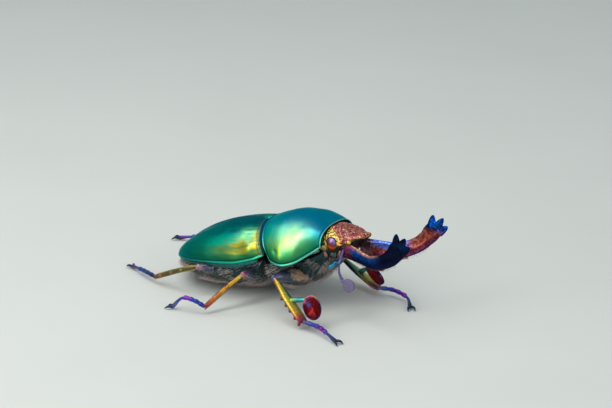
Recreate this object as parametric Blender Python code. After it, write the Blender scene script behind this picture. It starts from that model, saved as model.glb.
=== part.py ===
"""Green stag beetle (male Lamprima adolphinae), life size, standing in a walking pose.

Lengths below are in millimetres and angles in degrees; MM turns them into Blender's metres.
Body frame: +X forward, +Y the beetle's left, +Z up, origin at the middle of the pronotum's hind edge.
World frame: the same directions, floor at Z = 0, origin under the middle of the bounding box.
"""
import math

import bmesh
import bpy
from mathutils import Matrix, Vector

MM = 0.001
GAP = 0.3

# How the body stands over the floor
BODY_SIDE = -0.5
BODY_HEIGHT = 5.65
BODY_PITCH = 6.0
BODY_ROLL = -2.0

# Middle of the bounding box, which the last step moves over the origin
CENTRE_X = 1.04
CENTRE_Y = 1.76

# Pronotum
PRONOTUM_LENGTH = 9.9
PRONOTUM_HALF_WIDTH = 7.2
HIND_ANGLE_SWEEP = 2.4
HIND_EDGE_POWER = 1.35

# Elytra
ELYTRON_LENGTH = 14.6
ELYTRON_HALF_WIDTH = 6.9
SCUTELLUM_AT = (-0.8, 0.0, 4.15)
SCUTELLUM_HALF_SIZES = (1.0, 0.85, 0.55)

# Underside
BELLY_DEPTH = 3.9
TRUNK_SPLIT = -5.0
STERNITE_EDGES = (-4.85, -7.0, -9.0, -10.7, -12.2, -14.0)
STERNITE_STEP = 0.2
STERNUM_DEPTH = 4.0

# Head
HEAD_AT = (9.2, 0.0, 2.3)
HEAD_YAW = -4.0
HEAD_LENGTH = 5.5
EYE_AT = (1.9, 2.8, 0.1)
EYE_HALF_SIZES = (0.77, 0.77, 0.9)

# Mandibles
MANDIBLE_THICK = 0.75
RIGHT_TIP_SHIFT = (-0.15, -0.25, -0.3)
LEFT_ROOT_DROP = 0.6
LEFT_ROOT_SHARE = 0.35

# Feelers and palps
FEELER_RADIUS = 0.27
CLUB_HALF_SIZES = (0.92, 0.32, 0.9)
CLUB_RISE = {"left": 0.8, "right": 0.0}
PALP_RADIUS = 0.3

# Legs
FEMUR_RADIUS = 1.05
TIBIA_HALF_WIDTHS = {"fore": 0.88, "mid": 0.42, "hind": 0.42}
TARSUS_RADIUS = 0.36
CLAW_RADIUS = 0.27
TIBIA_TEETH = {"fore": 5, "mid": 3, "hind": 3}
TOOTH_LENGTHS = {"fore": 0.95, "mid": 0.65, "hind": 0.65}
LAST_TOOTH = {"fore": 0.97, "mid": 0.86, "hind": 0.86}
FAN_HALF_SIZES = (1.64, 1.22)
FAN_MIDDLE = (-0.44, 1.98)
FAN_ROOT = (-2.7, 0.35)
FAN_SLANT = 0.64
FAN_BOW = 0.3
FAN_THICK = 0.54


def smooth(t, keys):
    """Value at t of a smooth curve through hand-set (t, value) pairs, without overshoot."""
    if t <= keys[0][0]:
        return keys[0][1]
    if t >= keys[-1][0]:
        return keys[-1][1]
    slopes = [(b[1] - a[1]) / (b[0] - a[0]) for a, b in zip(keys, keys[1:])]
    tangents = [slopes[0]]
    for before, after in zip(slopes, slopes[1:]):
        tangents.append(0.0 if before * after <= 0 else 2 * before * after / (before + after))
    tangents.append(slopes[-1])
    i = max(k for k in range(len(keys) - 1) if keys[k][0] <= t)
    width = keys[i + 1][0] - keys[i][0]
    s = (t - keys[i][0]) / width
    start = keys[i][1] * (1 + 2 * s) + tangents[i] * width * s
    end = keys[i + 1][1] * (3 - 2 * s) - tangents[i + 1] * width * (1 - s)
    return start * (1 - s) ** 2 + end * s ** 2


def body_matrix():
    """Body frame to world frame, in millimetres."""
    turn = Matrix.Rotation(math.radians(BODY_ROLL), 4, "X")
    tilt = Matrix.Rotation(math.radians(-BODY_PITCH), 4, "Y")
    return Matrix.Translation((0, BODY_SIDE, BODY_HEIGHT)) @ turn @ tilt


def head_matrix():
    """Head frame to world frame: origin at the neck, +X forward."""
    turn = Matrix.Rotation(math.radians(HEAD_YAW), 4, "Z")
    return body_matrix() @ Matrix.Translation(HEAD_AT) @ turn


def principled(name, colour, roughness, metallic):
    material = bpy.data.materials.new(name)
    material.use_nodes = True
    shader = material.node_tree.nodes["Principled BSDF"]
    shader.inputs["Base Color"].default_value = (*colour, 1.0)
    shader.inputs["Roughness"].default_value = roughness
    shader.inputs["Metallic"].default_value = metallic
    return material


def add_object(name, bm, look, collection):
    bmesh.ops.recalc_face_normals(bm, faces=bm.faces)
    mesh = bpy.data.meshes.new(name)
    bm.to_mesh(mesh)
    bm.free()
    mesh.shade_smooth()
    mesh.set_sharp_from_angle(angle=math.radians(50))
    obj = bpy.data.objects.new(name, mesh)
    obj.data.materials.append(principled(name, *look))
    collection.objects.link(obj)
    return obj


def loft(name, rings, look, collection, frame=None):
    """Closed body through rings of points, with a fan over each end."""
    bm = bmesh.new()
    rows = []
    for ring in rings:
        points = [frame @ Vector(p) if frame else Vector(p) for p in ring]
        rows.append([bm.verts.new(p * MM) for p in points])
    for a, b in zip(rows, rows[1:]):
        for i in range(len(a)):
            j = (i + 1) % len(a)
            bm.faces.new((a[i], a[j], b[j], b[i]))
    for row in (rows[0], rows[-1]):
        middle = sum((v.co for v in row), Vector()) / len(row)
        centre = bm.verts.new(middle)
        for i in range(len(row)):
            bm.faces.new((row[i], row[(i + 1) % len(row)], centre))
    return add_object(name, bm, look, collection)


def curve_points(controls, steps):
    """Points along a smooth curve through the controls, steps to each span."""
    spans = []
    padded = [controls[0] * 2 - controls[1], *controls, controls[-1] * 2 - controls[-2]]
    for p0, p1, p2, p3 in zip(padded, padded[1:], padded[2:], padded[3:]):
        for k in range(steps):
            t = k / steps
            spans.append(0.5 * (2 * p1 + (p2 - p0) * t + (2 * p0 - 5 * p1 + 4 * p2 - p3) * t * t
                                + (3 * p1 - p0 - 3 * p2 + p3) * t ** 3))
    spans.append(controls[-1])
    return spans


def swept_rings(path, widths, depths, side, sides, turns=None):
    """Elliptic rings along a path: widths along the side vector, depths across it, turned by degrees."""
    rings = []
    for i, point in enumerate(path):
        ahead = path[min(i + 1, len(path) - 1)] - path[max(i - 1, 0)]
        along = ahead.normalized()
        wide = (side - along * side.dot(along)).normalized()
        if turns:
            wide = Matrix.Rotation(math.radians(turns[i]), 3, along) @ wide
        deep = along.cross(wide)
        ring = []
        for k in range(sides):
            angle = math.tau * k / sides
            ring.append(point + wide * widths[i] * math.cos(angle) + deep * depths[i] * math.sin(angle))
        rings.append(ring)
    return rings


def unite(target, pieces):
    """Fuse closed pieces into the target and drop them."""
    tools = bpy.data.collections.new(target.name + "_pieces")
    bpy.context.scene.collection.children.link(tools)
    for piece in pieces:
        for owner in list(piece.users_collection):
            owner.objects.unlink(piece)
        tools.objects.link(piece)
        piece.hide_render = True
        piece.display_type = "WIRE"
    union = target.modifiers.new("union", "BOOLEAN")
    union.operation = "UNION"
    union.operand_type = "COLLECTION"
    union.collection = tools
    union.solver = "EXACT"
    graph = bpy.context.evaluated_depsgraph_get()
    joined = bpy.data.meshes.new_from_object(target.evaluated_get(graph))
    target.modifiers.clear()
    target.data = joined
    for piece in pieces:
        bpy.data.objects.remove(piece)
    bpy.data.collections.remove(tools)


def cone_piece(base, tip, radius, look, collection, flat=1.0, side=Vector((0, 0, 1)), sides=6):
    """Tapered spine or tooth from base to tip, a little blunt."""
    path = [base, base.lerp(tip, 0.55), tip]
    widths = [radius, radius * 0.72, radius * 0.16]
    depths = [w * flat for w in widths]
    return loft("spine", swept_rings(path, widths, depths, side, sides), look, collection)


# Colours read from the photo: base colour, roughness, metallic
GREEN = ((0.02, 0.42, 0.22), 0.3, 0.9)
TEAL = ((0.01, 0.30, 0.28), 0.3, 0.9)
DARK = ((0.03, 0.09, 0.08), 0.4, 0.6)
BROWN = ((0.16, 0.09, 0.09), 0.5, 0.4)
COPPER = ((0.45, 0.12, 0.06), 0.45, 0.8)
ORANGE = ((0.50, 0.16, 0.05), 0.2, 0.0)
BLUE = ((0.01, 0.06, 0.35), 0.3, 0.8)
GOLD = ((0.75, 0.48, 0.05), 0.3, 0.9)
VIOLET = ((0.16, 0.08, 0.35), 0.35, 0.7)
RED = ((0.40, 0.01, 0.02), 0.3, 0.6)
LILAC = ((0.38, 0.30, 0.48), 0.5, 0.2)


def dome_arc(half_width, height, rim, count, boxy=1.0, full=True):
    """Arc over a dome from the right rim to the left one, or from the middle to the left."""
    points = []
    for k in range(count + 1):
        v = -1 + 2 * k / count if full else k / count
        angle = abs(v) * math.pi / 2
        y = math.copysign(half_width * math.sin(angle) ** boxy, v)
        points.append((v, y, rim + height * max(math.cos(angle), 0.0) ** boxy))
    return points


def pronotum_edge(v):
    """How far forward the pronotum's hind edge lies at v, from -1 at the right rim to 1."""
    return GAP / 2 + HIND_ANGLE_SWEEP * abs(v) ** HIND_EDGE_POWER


def pronotum_ring(u):
    half = PRONOTUM_HALF_WIDTH * smooth(u, ((0, 0.84), (0.15, 0.95), (0.36, 1.0), (0.6, 0.93),
                                            (0.8, 0.78), (1.0, 0.60)))
    rim = smooth(u, ((0, 1.4), (0.15, 0.4), (0.4, 0.1), (0.6, 0.4), (0.8, 1.2), (1.0, 2.2)))
    top = smooth(u, ((0, 4.6), (0.2, 5.3), (0.45, 5.8), (0.66, 5.75), (0.85, 5.2), (1.0, 4.5)))
    boxy = smooth(u, ((0, 1.0), (0.5, 1.0), (1.0, 0.85)))
    ring = []
    for v, y, z in dome_arc(half, top - rim, rim, 22, boxy):
        ring.append((pronotum_edge(v) + (PRONOTUM_LENGTH - pronotum_edge(v)) * u, y, z))
    under = rim + 0.15
    for k in range(1, 6):
        v = 1 - k / 3
        x = pronotum_edge(v) + (PRONOTUM_LENGTH - pronotum_edge(v)) * u
        ring.append((x, v * half, under))
    return ring


def make_pronotum(parts):
    rings = [pronotum_ring(k / 13) for k in range(14)]
    return loft("pronotum", rings, GREEN, parts, body_matrix())


def elytron_edge(v):
    """Base line of an elytron at v, from 0 at the suture to 1 at the margin."""
    return -GAP + HIND_ANGLE_SWEEP * v ** HIND_EDGE_POWER


def elytron_profile(u):
    half = ELYTRON_HALF_WIDTH * smooth(u, ((0, 0.86), (0.1, 0.95), (0.3, 1.0), (0.5, 0.99), (0.7, 0.88),
                                           (0.85, 0.67), (0.95, 0.40), (1.0, 0.14)))
    rim = smooth(u, ((0, 0.9), (0.12, 0.2), (0.3, -0.35), (0.6, -0.6), (0.85, -1.0), (1.0, -1.3)))
    top = smooth(u, ((0, 4.5), (0.15, 4.35), (0.35, 3.9), (0.55, 3.1), (0.75, 1.8), (0.9, 0.4), (1.0, -0.8)))
    return half, rim, top


def elytron_ring(u, side):
    half, rim, top = elytron_profile(u)
    ring = []
    for v, y, z in dome_arc(half, top - rim, rim, 13, full=False):
        x = elytron_edge(v) - (ELYTRON_LENGTH + elytron_edge(v)) * u
        ring.append((x, side * max(y, GAP / 2), z))
    for v in (0.7, 0.35, 0.0):
        x = elytron_edge(v) - (ELYTRON_LENGTH + elytron_edge(v)) * u
        ring.append((x, side * max(v * half, GAP / 2), rim))
    return ring


def make_elytra(parts):
    for name, side in (("elytron_left", 1), ("elytron_right", -1)):
        rings = [elytron_ring(k / 15, side) for k in range(16)]
        loft(name, rings, TEAL, parts, body_matrix())


def belly_ring(x, half, top, depth, sides=16):
    """Ring with a flat top and a round underside."""
    ring = [(x, -half * 0.5, top), (x, 0.0, top), (x, half * 0.5, top)]
    for k in range(sides + 1):
        angle = math.pi * k / sides
        ring.append((x, half * math.cos(angle), top - 0.25 - depth * math.sin(angle) ** 0.8))
    return ring


def make_trunk(parts):
    frame = body_matrix()
    abdomen = []
    for front, back in zip(STERNITE_EDGES, STERNITE_EDGES[1:]):
        for share in (0.04, 0.5, 1.0):
            x = front + (back - front) * share - GAP
            u = (elytron_edge(1) - x) / (ELYTRON_LENGTH + elytron_edge(1))
            half, rim, _ = elytron_profile(u)
            swell = STERNITE_STEP * (share - 0.5)
            depth = BELLY_DEPTH * smooth(u, ((0.4, 0.92), (0.6, 0.85), (0.8, 0.62), (1.0, 0.25))) + swell
            abdomen.append(belly_ring(x, max(half - 0.35 + swell, 0.6), rim - GAP, depth))
    loft("abdomen", abdomen, BROWN, parts, frame)
    hind_trunk = []
    for k in range(7):
        x = 1.3 + (TRUNK_SPLIT + GAP / 2 - 1.3) * k / 6
        u = min(max((elytron_edge(1) - x) / (ELYTRON_LENGTH + elytron_edge(1)), 0.0), 1.0)
        half, rim, _ = elytron_profile(u)
        depth = BELLY_DEPTH * smooth(k / 6, ((0, 0.80), (0.3, 1.0), (1.0, 0.95)))
        hind_trunk.append(belly_ring(x, half - 0.5, rim - GAP, depth))
    loft("pterothorax", hind_trunk, BROWN, parts, frame)
    fore_trunk = []
    for k in range(7):
        u = k / 6
        x = 1.6 + 8.0 * u
        half = 5.2 - 1.6 * u
        top = smooth(u, ((0, -0.2), (0.3, -0.3), (0.6, 0.2), (1.0, 1.6)))
        depth = STERNUM_DEPTH * smooth(u, ((0, 0.8), (0.3, 1.0), (0.6, 0.95), (1.0, 0.75)))
        fore_trunk.append(belly_ring(x, half, top, depth))
    loft("prosternum", fore_trunk, DARK, parts, frame)


def trim(obj, neighbours):
    """Cut obj back to GAP from each neighbour, so that the two meet face to face."""
    for other in neighbours:
        cutter = bpy.data.objects.new("cutter", other.data.copy())
        bpy.context.scene.collection.objects.link(cutter)
        swell = cutter.modifiers.new("swell", "DISPLACE")
        swell.strength = GAP * MM * 1.05
        swell.mid_level = 0.0
        cut = obj.modifiers.new("cut", "BOOLEAN")
        cut.operation = "DIFFERENCE"
        cut.object = cutter
        cut.solver = "EXACT"
        graph = bpy.context.evaluated_depsgraph_get()
        kept = bpy.data.meshes.new_from_object(obj.evaluated_get(graph))
        obj.modifiers.clear()
        obj.data = kept
        bpy.data.objects.remove(cutter)
    keep_largest(obj)


def keep_largest(obj):
    """Drop every closed surface of the mesh but the largest."""
    bm = bmesh.new()
    bm.from_mesh(obj.data)
    bmesh.ops.remove_doubles(bm, verts=bm.verts, dist=1e-6)
    left = set(bm.verts)
    islands = []
    while left:
        seed = left.pop()
        island = [seed]
        for vert in island:
            for edge in vert.link_edges:
                other = edge.other_vert(vert)
                if other in left:
                    left.remove(other)
                    island.append(other)
        islands.append(island)
    islands.sort(key=len)
    bmesh.ops.delete(bm, geom=[v for island in islands[:-1] for v in island], context="VERTS")
    bm.to_mesh(obj.data)
    bm.free()


def head_section(u):
    half = smooth(u, ((0, 2.9), (0.15, 3.15), (0.35, 3.25), (0.5, 3.05), (0.62, 2.7), (0.75, 2.0),
                      (0.88, 1.35), (1.0, 0.8)))
    top = smooth(u, ((0, 1.75), (0.12, 1.85), (0.25, 1.93), (0.38, 1.85), (0.52, 1.65), (0.69, 1.35),
                     (0.86, 1.15), (1.0, 1.05)))
    under = smooth(u, ((0, -2.3), (0.2, -2.5), (0.4, -2.3), (0.55, -1.7), (0.68, -0.9), (0.8, -0.1),
                       (0.9, 0.25), (1.0, 0.45)))
    return half, top, under


def make_head(parts, trunk):
    """The head with its eyes; returns its whole form, which the pieces on it are trimmed by."""
    frame = head_matrix()
    rings = []
    for k in range(13):
        u = k / 12
        half, top, under = head_section(u)
        middle = top - (top - under) * 0.42
        ring = []
        for i in range(24):
            across = math.cos(math.tau * i / 24)
            rise = math.sin(math.tau * i / 24)
            y = half * math.copysign(abs(across) ** 0.8, across)
            z = middle + (top - middle) * rise ** 1.35 if rise > 0 else middle - (middle - under) * (-rise) ** 0.8
            ring.append((HEAD_LENGTH * u, y, z))
        rings.append(ring)
    head = loft("head", rings, COPPER, parts, frame)
    whole = bpy.data.objects.new("whole_head", head.data.copy())
    eyes = []
    for name, side in (("eye_left", 1), ("eye_right", -1)):
        place = frame @ Matrix.Translation((EYE_AT[0], side * EYE_AT[1], EYE_AT[2]))
        eyes.append(ball(name, place, EYE_HALF_SIZES, ORANGE, parts))
    trim(head, trunk + eyes)
    return whole


def ball(name, place, half_sizes, look, collection):
    """Ellipsoid at a place given by a matrix in millimetres."""
    bm = bmesh.new()
    bmesh.ops.create_uvsphere(bm, u_segments=16, v_segments=10, radius=1.0)
    for vert in bm.verts:
        vert.co = place @ Vector(c * size for c, size in zip(vert.co, half_sizes)) * MM
    return add_object(name, bm, look, collection)


# Middle line of the left mandible with its half height, then its teeth, in the head frame
MANDIBLE_PATH = ((4.2, 2.2, -0.9), (5.6, 2.35, -1.22), (6.75, 2.6, -1.5), (8.0, 2.85, -1.7),
                 (9.4, 3.1, -1.46), (10.85, 3.4, -0.88), (11.85, 3.65, -0.25), (12.75, 3.85, 0.7),
                 (13.55, 4.0, 1.55))
MANDIBLE_HALF_HEIGHTS = ((0, 1.05), (0.12, 0.98), (0.27, 0.92), (0.5, 1.0), (0.65, 0.97), (0.78, 1.02),
                         (0.9, 1.2), (1.0, 1.15))
MANDIBLE_LEAN = ((0, 12.0), (0.2, 22.0), (0.5, 22.0), (0.8, 8.0), (1.0, 0.0))
MANDIBLE_TEETH = (((13.0, 4.0, 1.8), (13.3, 4.15, 3.35)), ((13.7, 4.05, 1.6), (14.75, 4.25, 3.0)),
                  ((14.1, 4.05, 1.1), (15.4, 4.2, 1.95)))


def mandible_points(points, side):
    """Head-frame points of one mandible in the world; the right tip is drawn in, the left root hangs lower."""
    frame = head_matrix()
    placed = []
    for x, y, z in points:
        share = max(x - MANDIBLE_PATH[0][0], 0.0) / (MANDIBLE_PATH[-1][0] - MANDIBLE_PATH[0][0])
        point = Vector((x, side * y, z))
        if side < 0:
            point += Vector(RIGHT_TIP_SHIFT) * share ** 2
        else:
            point.z -= LEFT_ROOT_DROP * max(1 - share / LEFT_ROOT_SHARE, 0)
        placed.append(frame @ point)
    return placed


def make_mandibles(parts, head):
    across = head_matrix().to_3x3() @ Vector((0, 1, 0))
    slant = head_matrix().to_3x3() @ Vector((1, 0, -1))
    for name, side in (("mandible_left", 1), ("mandible_right", -1)):
        path = curve_points(mandible_points(MANDIBLE_PATH, side), 3)
        last = len(path) - 1
        widths = [MANDIBLE_THICK * smooth(i / last, ((0, 0.95), (0.3, 0.75), (0.7, 0.62), (1, 0.5)))
                  for i in range(last + 1)]
        depths = [smooth(i / last, MANDIBLE_HALF_HEIGHTS) for i in range(last + 1)]
        turns = [-side * smooth(i / last, MANDIBLE_LEAN) for i in range(last + 1)]
        blade = loft(name, swept_rings(path, widths, depths, across, 12, turns), BLUE, parts)
        teeth = []
        for tooth in MANDIBLE_TEETH:
            root, point = mandible_points(tooth, side)
            teeth.append(cone_piece(root, point, 0.62, BLUE, parts, 0.55, slant))
        unite(blade, teeth)
        trim(blade, [head])


def limb(name, controls, steps, widths, depths, side, sides, look, parts):
    """Tapered limb piece; widths and depths are (t, half size) keys along it."""
    path = curve_points([Vector(c) for c in controls], steps)
    last = len(path) - 1
    w = [smooth(i / last, widths) for i in range(last + 1)]
    d = [smooth(i / last, depths) for i in range(last + 1)]
    return loft(name, swept_rings(path, w, d, Vector(side), sides), look, parts)


def make_scutellum(parts, shells):
    place = body_matrix() @ Matrix.Translation(SCUTELLUM_AT)
    plate = ball("scutellum", place, SCUTELLUM_HALF_SIZES, GREEN, parts)
    trim(plate, [shells[0]])
    for shell in shells[1:]:
        trim(shell, [plate])


def make_antennae(parts, head):
    frame = head_matrix()
    radii = ((0, FEELER_RADIUS), (1, FEELER_RADIUS * 1.1))
    for side_name, side in (("left", 1), ("right", -1)):
        def at(x, y, z):
            return frame @ Vector((x, side * y, z))
        scape_way = (at(3.5, 2.6, -0.5), at(3.45, 3.15, -1.2), at(3.35, 3.6, -1.95))
        scape = limb("scape_" + side_name, scape_way, 3, radii, radii, (1, 0, 0), 8, LILAC, parts)
        trim(scape, [head])
        rise = CLUB_RISE[side_name]
        stalk = (at(3.35, 3.75, -2.4), at(3.5, 3.95, -3.4 + rise * 0.5), at(4.1, 4.15, -4.35 + rise))
        funicle = limb("funicle_" + side_name, stalk, 3, radii, radii, (1, 0, 0), 8, LILAC, parts)
        place = frame @ Matrix.Translation((5.1, side * 4.3, -4.75 + rise))
        leaf = ball("antenna_club_" + side_name, place, CLUB_HALF_SIZES, LILAC, parts)
        trim(leaf, [funicle])


def make_palps(parts, head):
    frame = head_matrix()
    radii = ((0, PALP_RADIUS * 0.9), (0.7, PALP_RADIUS), (1, PALP_RADIUS * 0.7))
    for side_name, side in (("left", 1), ("right", -1)):
        way = [frame @ Vector((x, side * y, z)) for x, y, z in ((2.5, 1.5, -1.9), (1.9, 2.3, -2.5),
                                                                (1.2, 2.95, -3.15))]
        palp = limb("palp_" + side_name, way, 3, radii, radii, (1, 0, 0), 8, BLUE, parts)
        trim(palp, [head])


def fan_spur(name, end, along, inner, outward, parts, tibia):
    """Broad oval spur at the inner end of a fore tibia, hollow on its outer face, with a pointed root."""
    face = along.cross(inner).normalized()
    face *= math.copysign(1, face.dot(outward))
    middle = end + along * FAN_MIDDLE[0] + inner * FAN_MIDDLE[1]
    tall = (along - inner * FAN_SLANT).normalized()
    wide = (inner + along * FAN_SLANT).normalized()
    root = end + along * FAN_ROOT[0] + inner * FAN_ROOT[1]
    outline = [root]
    for k in range(15):
        angle = math.radians(-75 + 250 * k / 14)
        outline.append(middle + tall * FAN_HALF_SIZES[0] * math.sin(angle)
                       + wide * FAN_HALF_SIZES[1] * math.cos(angle))
    bm = bmesh.new()
    top, low = [], []
    for point in outline:
        bow = face * FAN_BOW * ((point - middle).length / FAN_HALF_SIZES[0]) ** 2
        top.append(bm.verts.new((point + bow + face * FAN_THICK / 2) * MM))
        low.append(bm.verts.new((point + bow - face * FAN_THICK / 2) * MM))
    heart = bm.verts.new((middle + face * FAN_THICK / 2) * MM)
    back = bm.verts.new((middle - face * FAN_THICK / 2) * MM)
    loop = list(range(len(top)))
    for i, j in zip(loop, loop[1:] + loop[:1]):
        bm.faces.new((heart, top[i], top[j]))
        bm.faces.new((back, low[j], low[i]))
        bm.faces.new((top[i], top[j], low[j], low[i]))
    spur = add_object(name, bm, RED, parts)
    trim(spur, [tibia])


# Legs: hip in the body frame, then knee, ankle and the foot's way in the world frame
LEGS = {
    "fore_right": ((6.2, -2.6, -2.4), (4.6, -8.3, 5.1), (10.75, -11.0, 1.1),
                   ((13.2, -11.3, 1.0), (15.1, -12.3, 0.85), (16.7, -12.85, 0.3))),
    "fore_left": ((6.2, 2.6, -2.4), (6.0, 6.6, 3.4), (12.95, 4.75, 0.9),
                  ((15.3, 4.85, 1.0), (17.8, 3.95, 0.8), (19.3, 2.2, 0.3))),
    "mid_right": ((0.0, -2.8, -3.0), (-0.3, -8.0, 4.4), (-3.0, -13.1, 1.0),
                  ((-4.4, -13.4, 1.7), (-6.2, -13.6, 1.8), (-7.7, -13.8, 0.3))),
    "mid_left": ((0.0, 2.8, -3.0), (0.6, 8.2, 3.6), (-1.0, 13.4, 0.9),
                 ((-2.6, 14.8, 1.2), (-4.2, 16.0, 0.9), (-5.6, 17.0, 0.3))),
    "hind_right": ((-4.2, -2.8, -3.0), (-7.3, -8.0, 4.1), (-14.8, -7.3, 0.9),
                   ((-16.8, -6.4, 0.9), (-18.8, -5.4, 0.7), (-20.5, -4.4, 0.3))),
    "hind_left": ((-4.2, 2.8, -3.0), (-8.6, 8.2, 3.2), (-15.3, 8.6, 0.9),
                  ((-17.4, 8.6, 1.0), (-19.4, 8.4, 0.7), (-21.2, 8.1, 0.3))),
}


def make_leg(name, parts, trunk):
    hip, knee, ankle, foot = LEGS[name]
    pair, side_name = name.split("_")
    hip = body_matrix() @ Vector(hip)
    knee, ankle = Vector(knee), Vector(ankle)
    foot = [Vector(p) for p in foot]
    up = Vector((0, 0, 1))
    middle = hip.lerp(knee, 0.5) + up * 0.15
    femur = limb(pair + "_femur_" + side_name, (hip, middle, knee), 4,
                 ((0, 0.75), (0.35, 1.0), (0.8, 0.75), (1, 0.5)),
                 ((0, 0.8), (0.35, FEMUR_RADIUS), (0.8, 0.8), (1, 0.5)), up, 10, DARK, parts)
    trim(femur, trunk)
    along = (ankle - knee).normalized()
    start = knee + along * GAP * 2.2
    end = ankle - along * GAP * 0.8
    out = Vector((0, math.copysign(1, ankle.y), 0))
    broad = TIBIA_HALF_WIDTHS[pair]
    tibia = limb(pair + "_tibia_" + side_name, (start, start.lerp(end, 0.5), end), 4,
                 ((0, 0.32), (0.15, 0.4), (0.6, broad * 0.92), (0.9, broad), (1, broad * 0.85)),
                 ((0, 0.30), (0.15, 0.36), (0.9, 0.36), (1, 0.34)), out, 10, GOLD, parts)
    trim(tibia, [femur])
    teeth = []
    count = TIBIA_TEETH[pair]
    away = Vector((0, 0, -1)) - along * Vector((0, 0, -1)).dot(along)
    away = (away.normalized() + out * 0.7).normalized() if pair == "fore" else out
    for k in range(count):
        spot = start.lerp(end, 0.42 + (LAST_TOOTH[pair] - 0.42) * k / (count - 1))
        tip = spot + away * TOOTH_LENGTHS[pair] + along * 0.35
        teeth.append(cone_piece(spot, tip, 0.27, GOLD, parts))
    if pair == "fore":
        inner = Vector((0.6, math.copysign(0.45, -ankle.y), 0.55))
        inner = (inner - along * inner.dot(along)).normalized()
        fan_spur("fore_spur_" + side_name, end, along, inner, out, parts, tibia)
    way = [ankle, *foot]
    path = curve_points(way, 5)
    last = len(path) - 1
    thin = TARSUS_RADIUS * 0.7
    radii = [thin + (TARSUS_RADIUS - thin) * ((i / last * 5) % 1) for i in range(last)]
    radii.append(TARSUS_RADIUS * 0.83)
    tarsus = loft(pair + "_tarsus_" + side_name, swept_rings(path, radii, radii, up, 8), VIOLET, parts)
    trim(tarsus, [tibia])
    unite(tibia, teeth)
    heading = (way[-1] - way[-2]).normalized()
    heading.z = 0
    heading.normalize()
    aside = Vector((-heading.y, heading.x, 0))
    claws = []
    for s in (-1, 1):
        root = way[-1] - heading * 0.1 + aside * s * 0.08
        bend = way[-1] + heading * 0.45 + aside * s * 0.4 + up * 0.02
        tip = way[-1] + heading * 0.95 + aside * s * 0.5 - up * 0.25
        curl = curve_points([root, bend, tip], 2)
        sizes = [CLAW_RADIUS * share for share in (1.0, 0.88, 0.74, 0.55, 0.26)]
        claws.append(loft("claw", swept_rings(curl, sizes, sizes, up, 6), VIOLET, parts))
    unite(tarsus, claws)
    for vert in tarsus.data.vertices:
        vert.co.z = max(vert.co.z, 0.0)


def make_all():
    for old in list(bpy.data.objects):
        bpy.data.objects.remove(old, do_unlink=True)
    parts = bpy.data.collections.new("green_stag_beetle")
    bpy.context.scene.collection.children.link(parts)
    make_pronotum(parts)
    make_elytra(parts)
    make_trunk(parts)
    trunk = [bpy.data.objects[n] for n in ("prosternum", "pterothorax", "abdomen", "pronotum",
                                           "elytron_left", "elytron_right")]
    head = make_head(parts, trunk[:1] + trunk[3:4])
    make_mandibles(parts, head)
    make_scutellum(parts, [trunk[3], trunk[4], trunk[5]])
    make_antennae(parts, head)
    make_palps(parts, head)
    bpy.data.objects.remove(head)
    for name in LEGS:
        make_leg(name, parts, trunk)
    for obj in parts.objects:
        obj.data.transform(Matrix.Translation((-CENTRE_X * MM, -CENTRE_Y * MM, 0)))


make_all()
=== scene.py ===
"""Looks of the life-size green stag beetle: fine shells, head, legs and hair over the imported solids.

Lengths are in millimetres in the frames below and are turned into metres as each mesh is made.
Body frame: +X forward, +Y the beetle's left, +Z up, origin at the middle of the pronotum's hind edge.
"""
import math
import random

import bmesh
import bpy
import numpy as np
from mathutils import Matrix, Vector, noise


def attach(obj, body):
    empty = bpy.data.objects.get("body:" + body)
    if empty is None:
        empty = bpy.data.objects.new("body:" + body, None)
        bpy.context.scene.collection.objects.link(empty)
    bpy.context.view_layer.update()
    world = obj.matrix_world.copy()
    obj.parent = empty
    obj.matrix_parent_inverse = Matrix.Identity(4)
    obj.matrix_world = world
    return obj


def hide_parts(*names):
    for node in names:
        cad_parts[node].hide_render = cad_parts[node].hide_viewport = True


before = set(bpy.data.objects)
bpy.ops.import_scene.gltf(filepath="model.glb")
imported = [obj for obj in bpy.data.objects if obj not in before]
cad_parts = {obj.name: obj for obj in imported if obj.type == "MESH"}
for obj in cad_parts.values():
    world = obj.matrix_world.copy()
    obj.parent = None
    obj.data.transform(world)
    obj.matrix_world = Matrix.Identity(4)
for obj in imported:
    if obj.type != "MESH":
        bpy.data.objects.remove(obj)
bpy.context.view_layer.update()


MM = 0.001
SIDES = (("left", 1), ("right", -1))
CENTRE = Vector((1.04, 1.76, 0))
BODY_SIDE = -0.5
BODY_HEIGHT = 5.65
BODY_PITCH = 6
BODY_ROLL = -2

PRONOTUM_LENGTH = 9.9
PRONOTUM_HALF_WIDTH = 7.2
HIND_ANGLE_SWEEP = 2.4
HIND_EDGE_POWER = 1.35
ELYTRON_LENGTH = 14.6
ELYTRON_HALF_WIDTH = 6.9
BELLY_DEPTH = 3.9
STERNUM_DEPTH = 4
HEAD_AT = (9.2, 0, 2.3)
HEAD_YAW = -4
HEAD_LENGTH = 5.5
EYE_AT = (1.9, 2.8, 0.1)
EYE_HALF_SIZES = (0.77, 0.77, 0.9)
MANDIBLE_THICK = 0.75
RIGHT_TIP_SHIFT = (-0.15, -0.25, -0.3)
LEFT_ROOT_DROP = 0.6
LEFT_ROOT_SHARE = 0.35
CLUB_RISE = {1: 0.8, -1: 0}
FAN_HALF_SIZES = (1.64, 1.22)


# Frames and meshes


def body_matrix():
    turn = Matrix.Rotation(math.radians(BODY_ROLL), 4, "X")
    tilt = Matrix.Rotation(math.radians(-BODY_PITCH), 4, "Y")
    return Matrix.Translation((0, BODY_SIDE, BODY_HEIGHT)) @ turn @ tilt


def head_matrix():
    turn = Matrix.Rotation(math.radians(HEAD_YAW), 4, "Z")
    return body_matrix() @ Matrix.Translation(HEAD_AT) @ turn


BODY, HEAD = body_matrix(), head_matrix()
BODY_SPIN, HEAD_SPIN = BODY.to_3x3(), HEAD.to_3x3()
UP = Vector((0, 0, 1))


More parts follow.
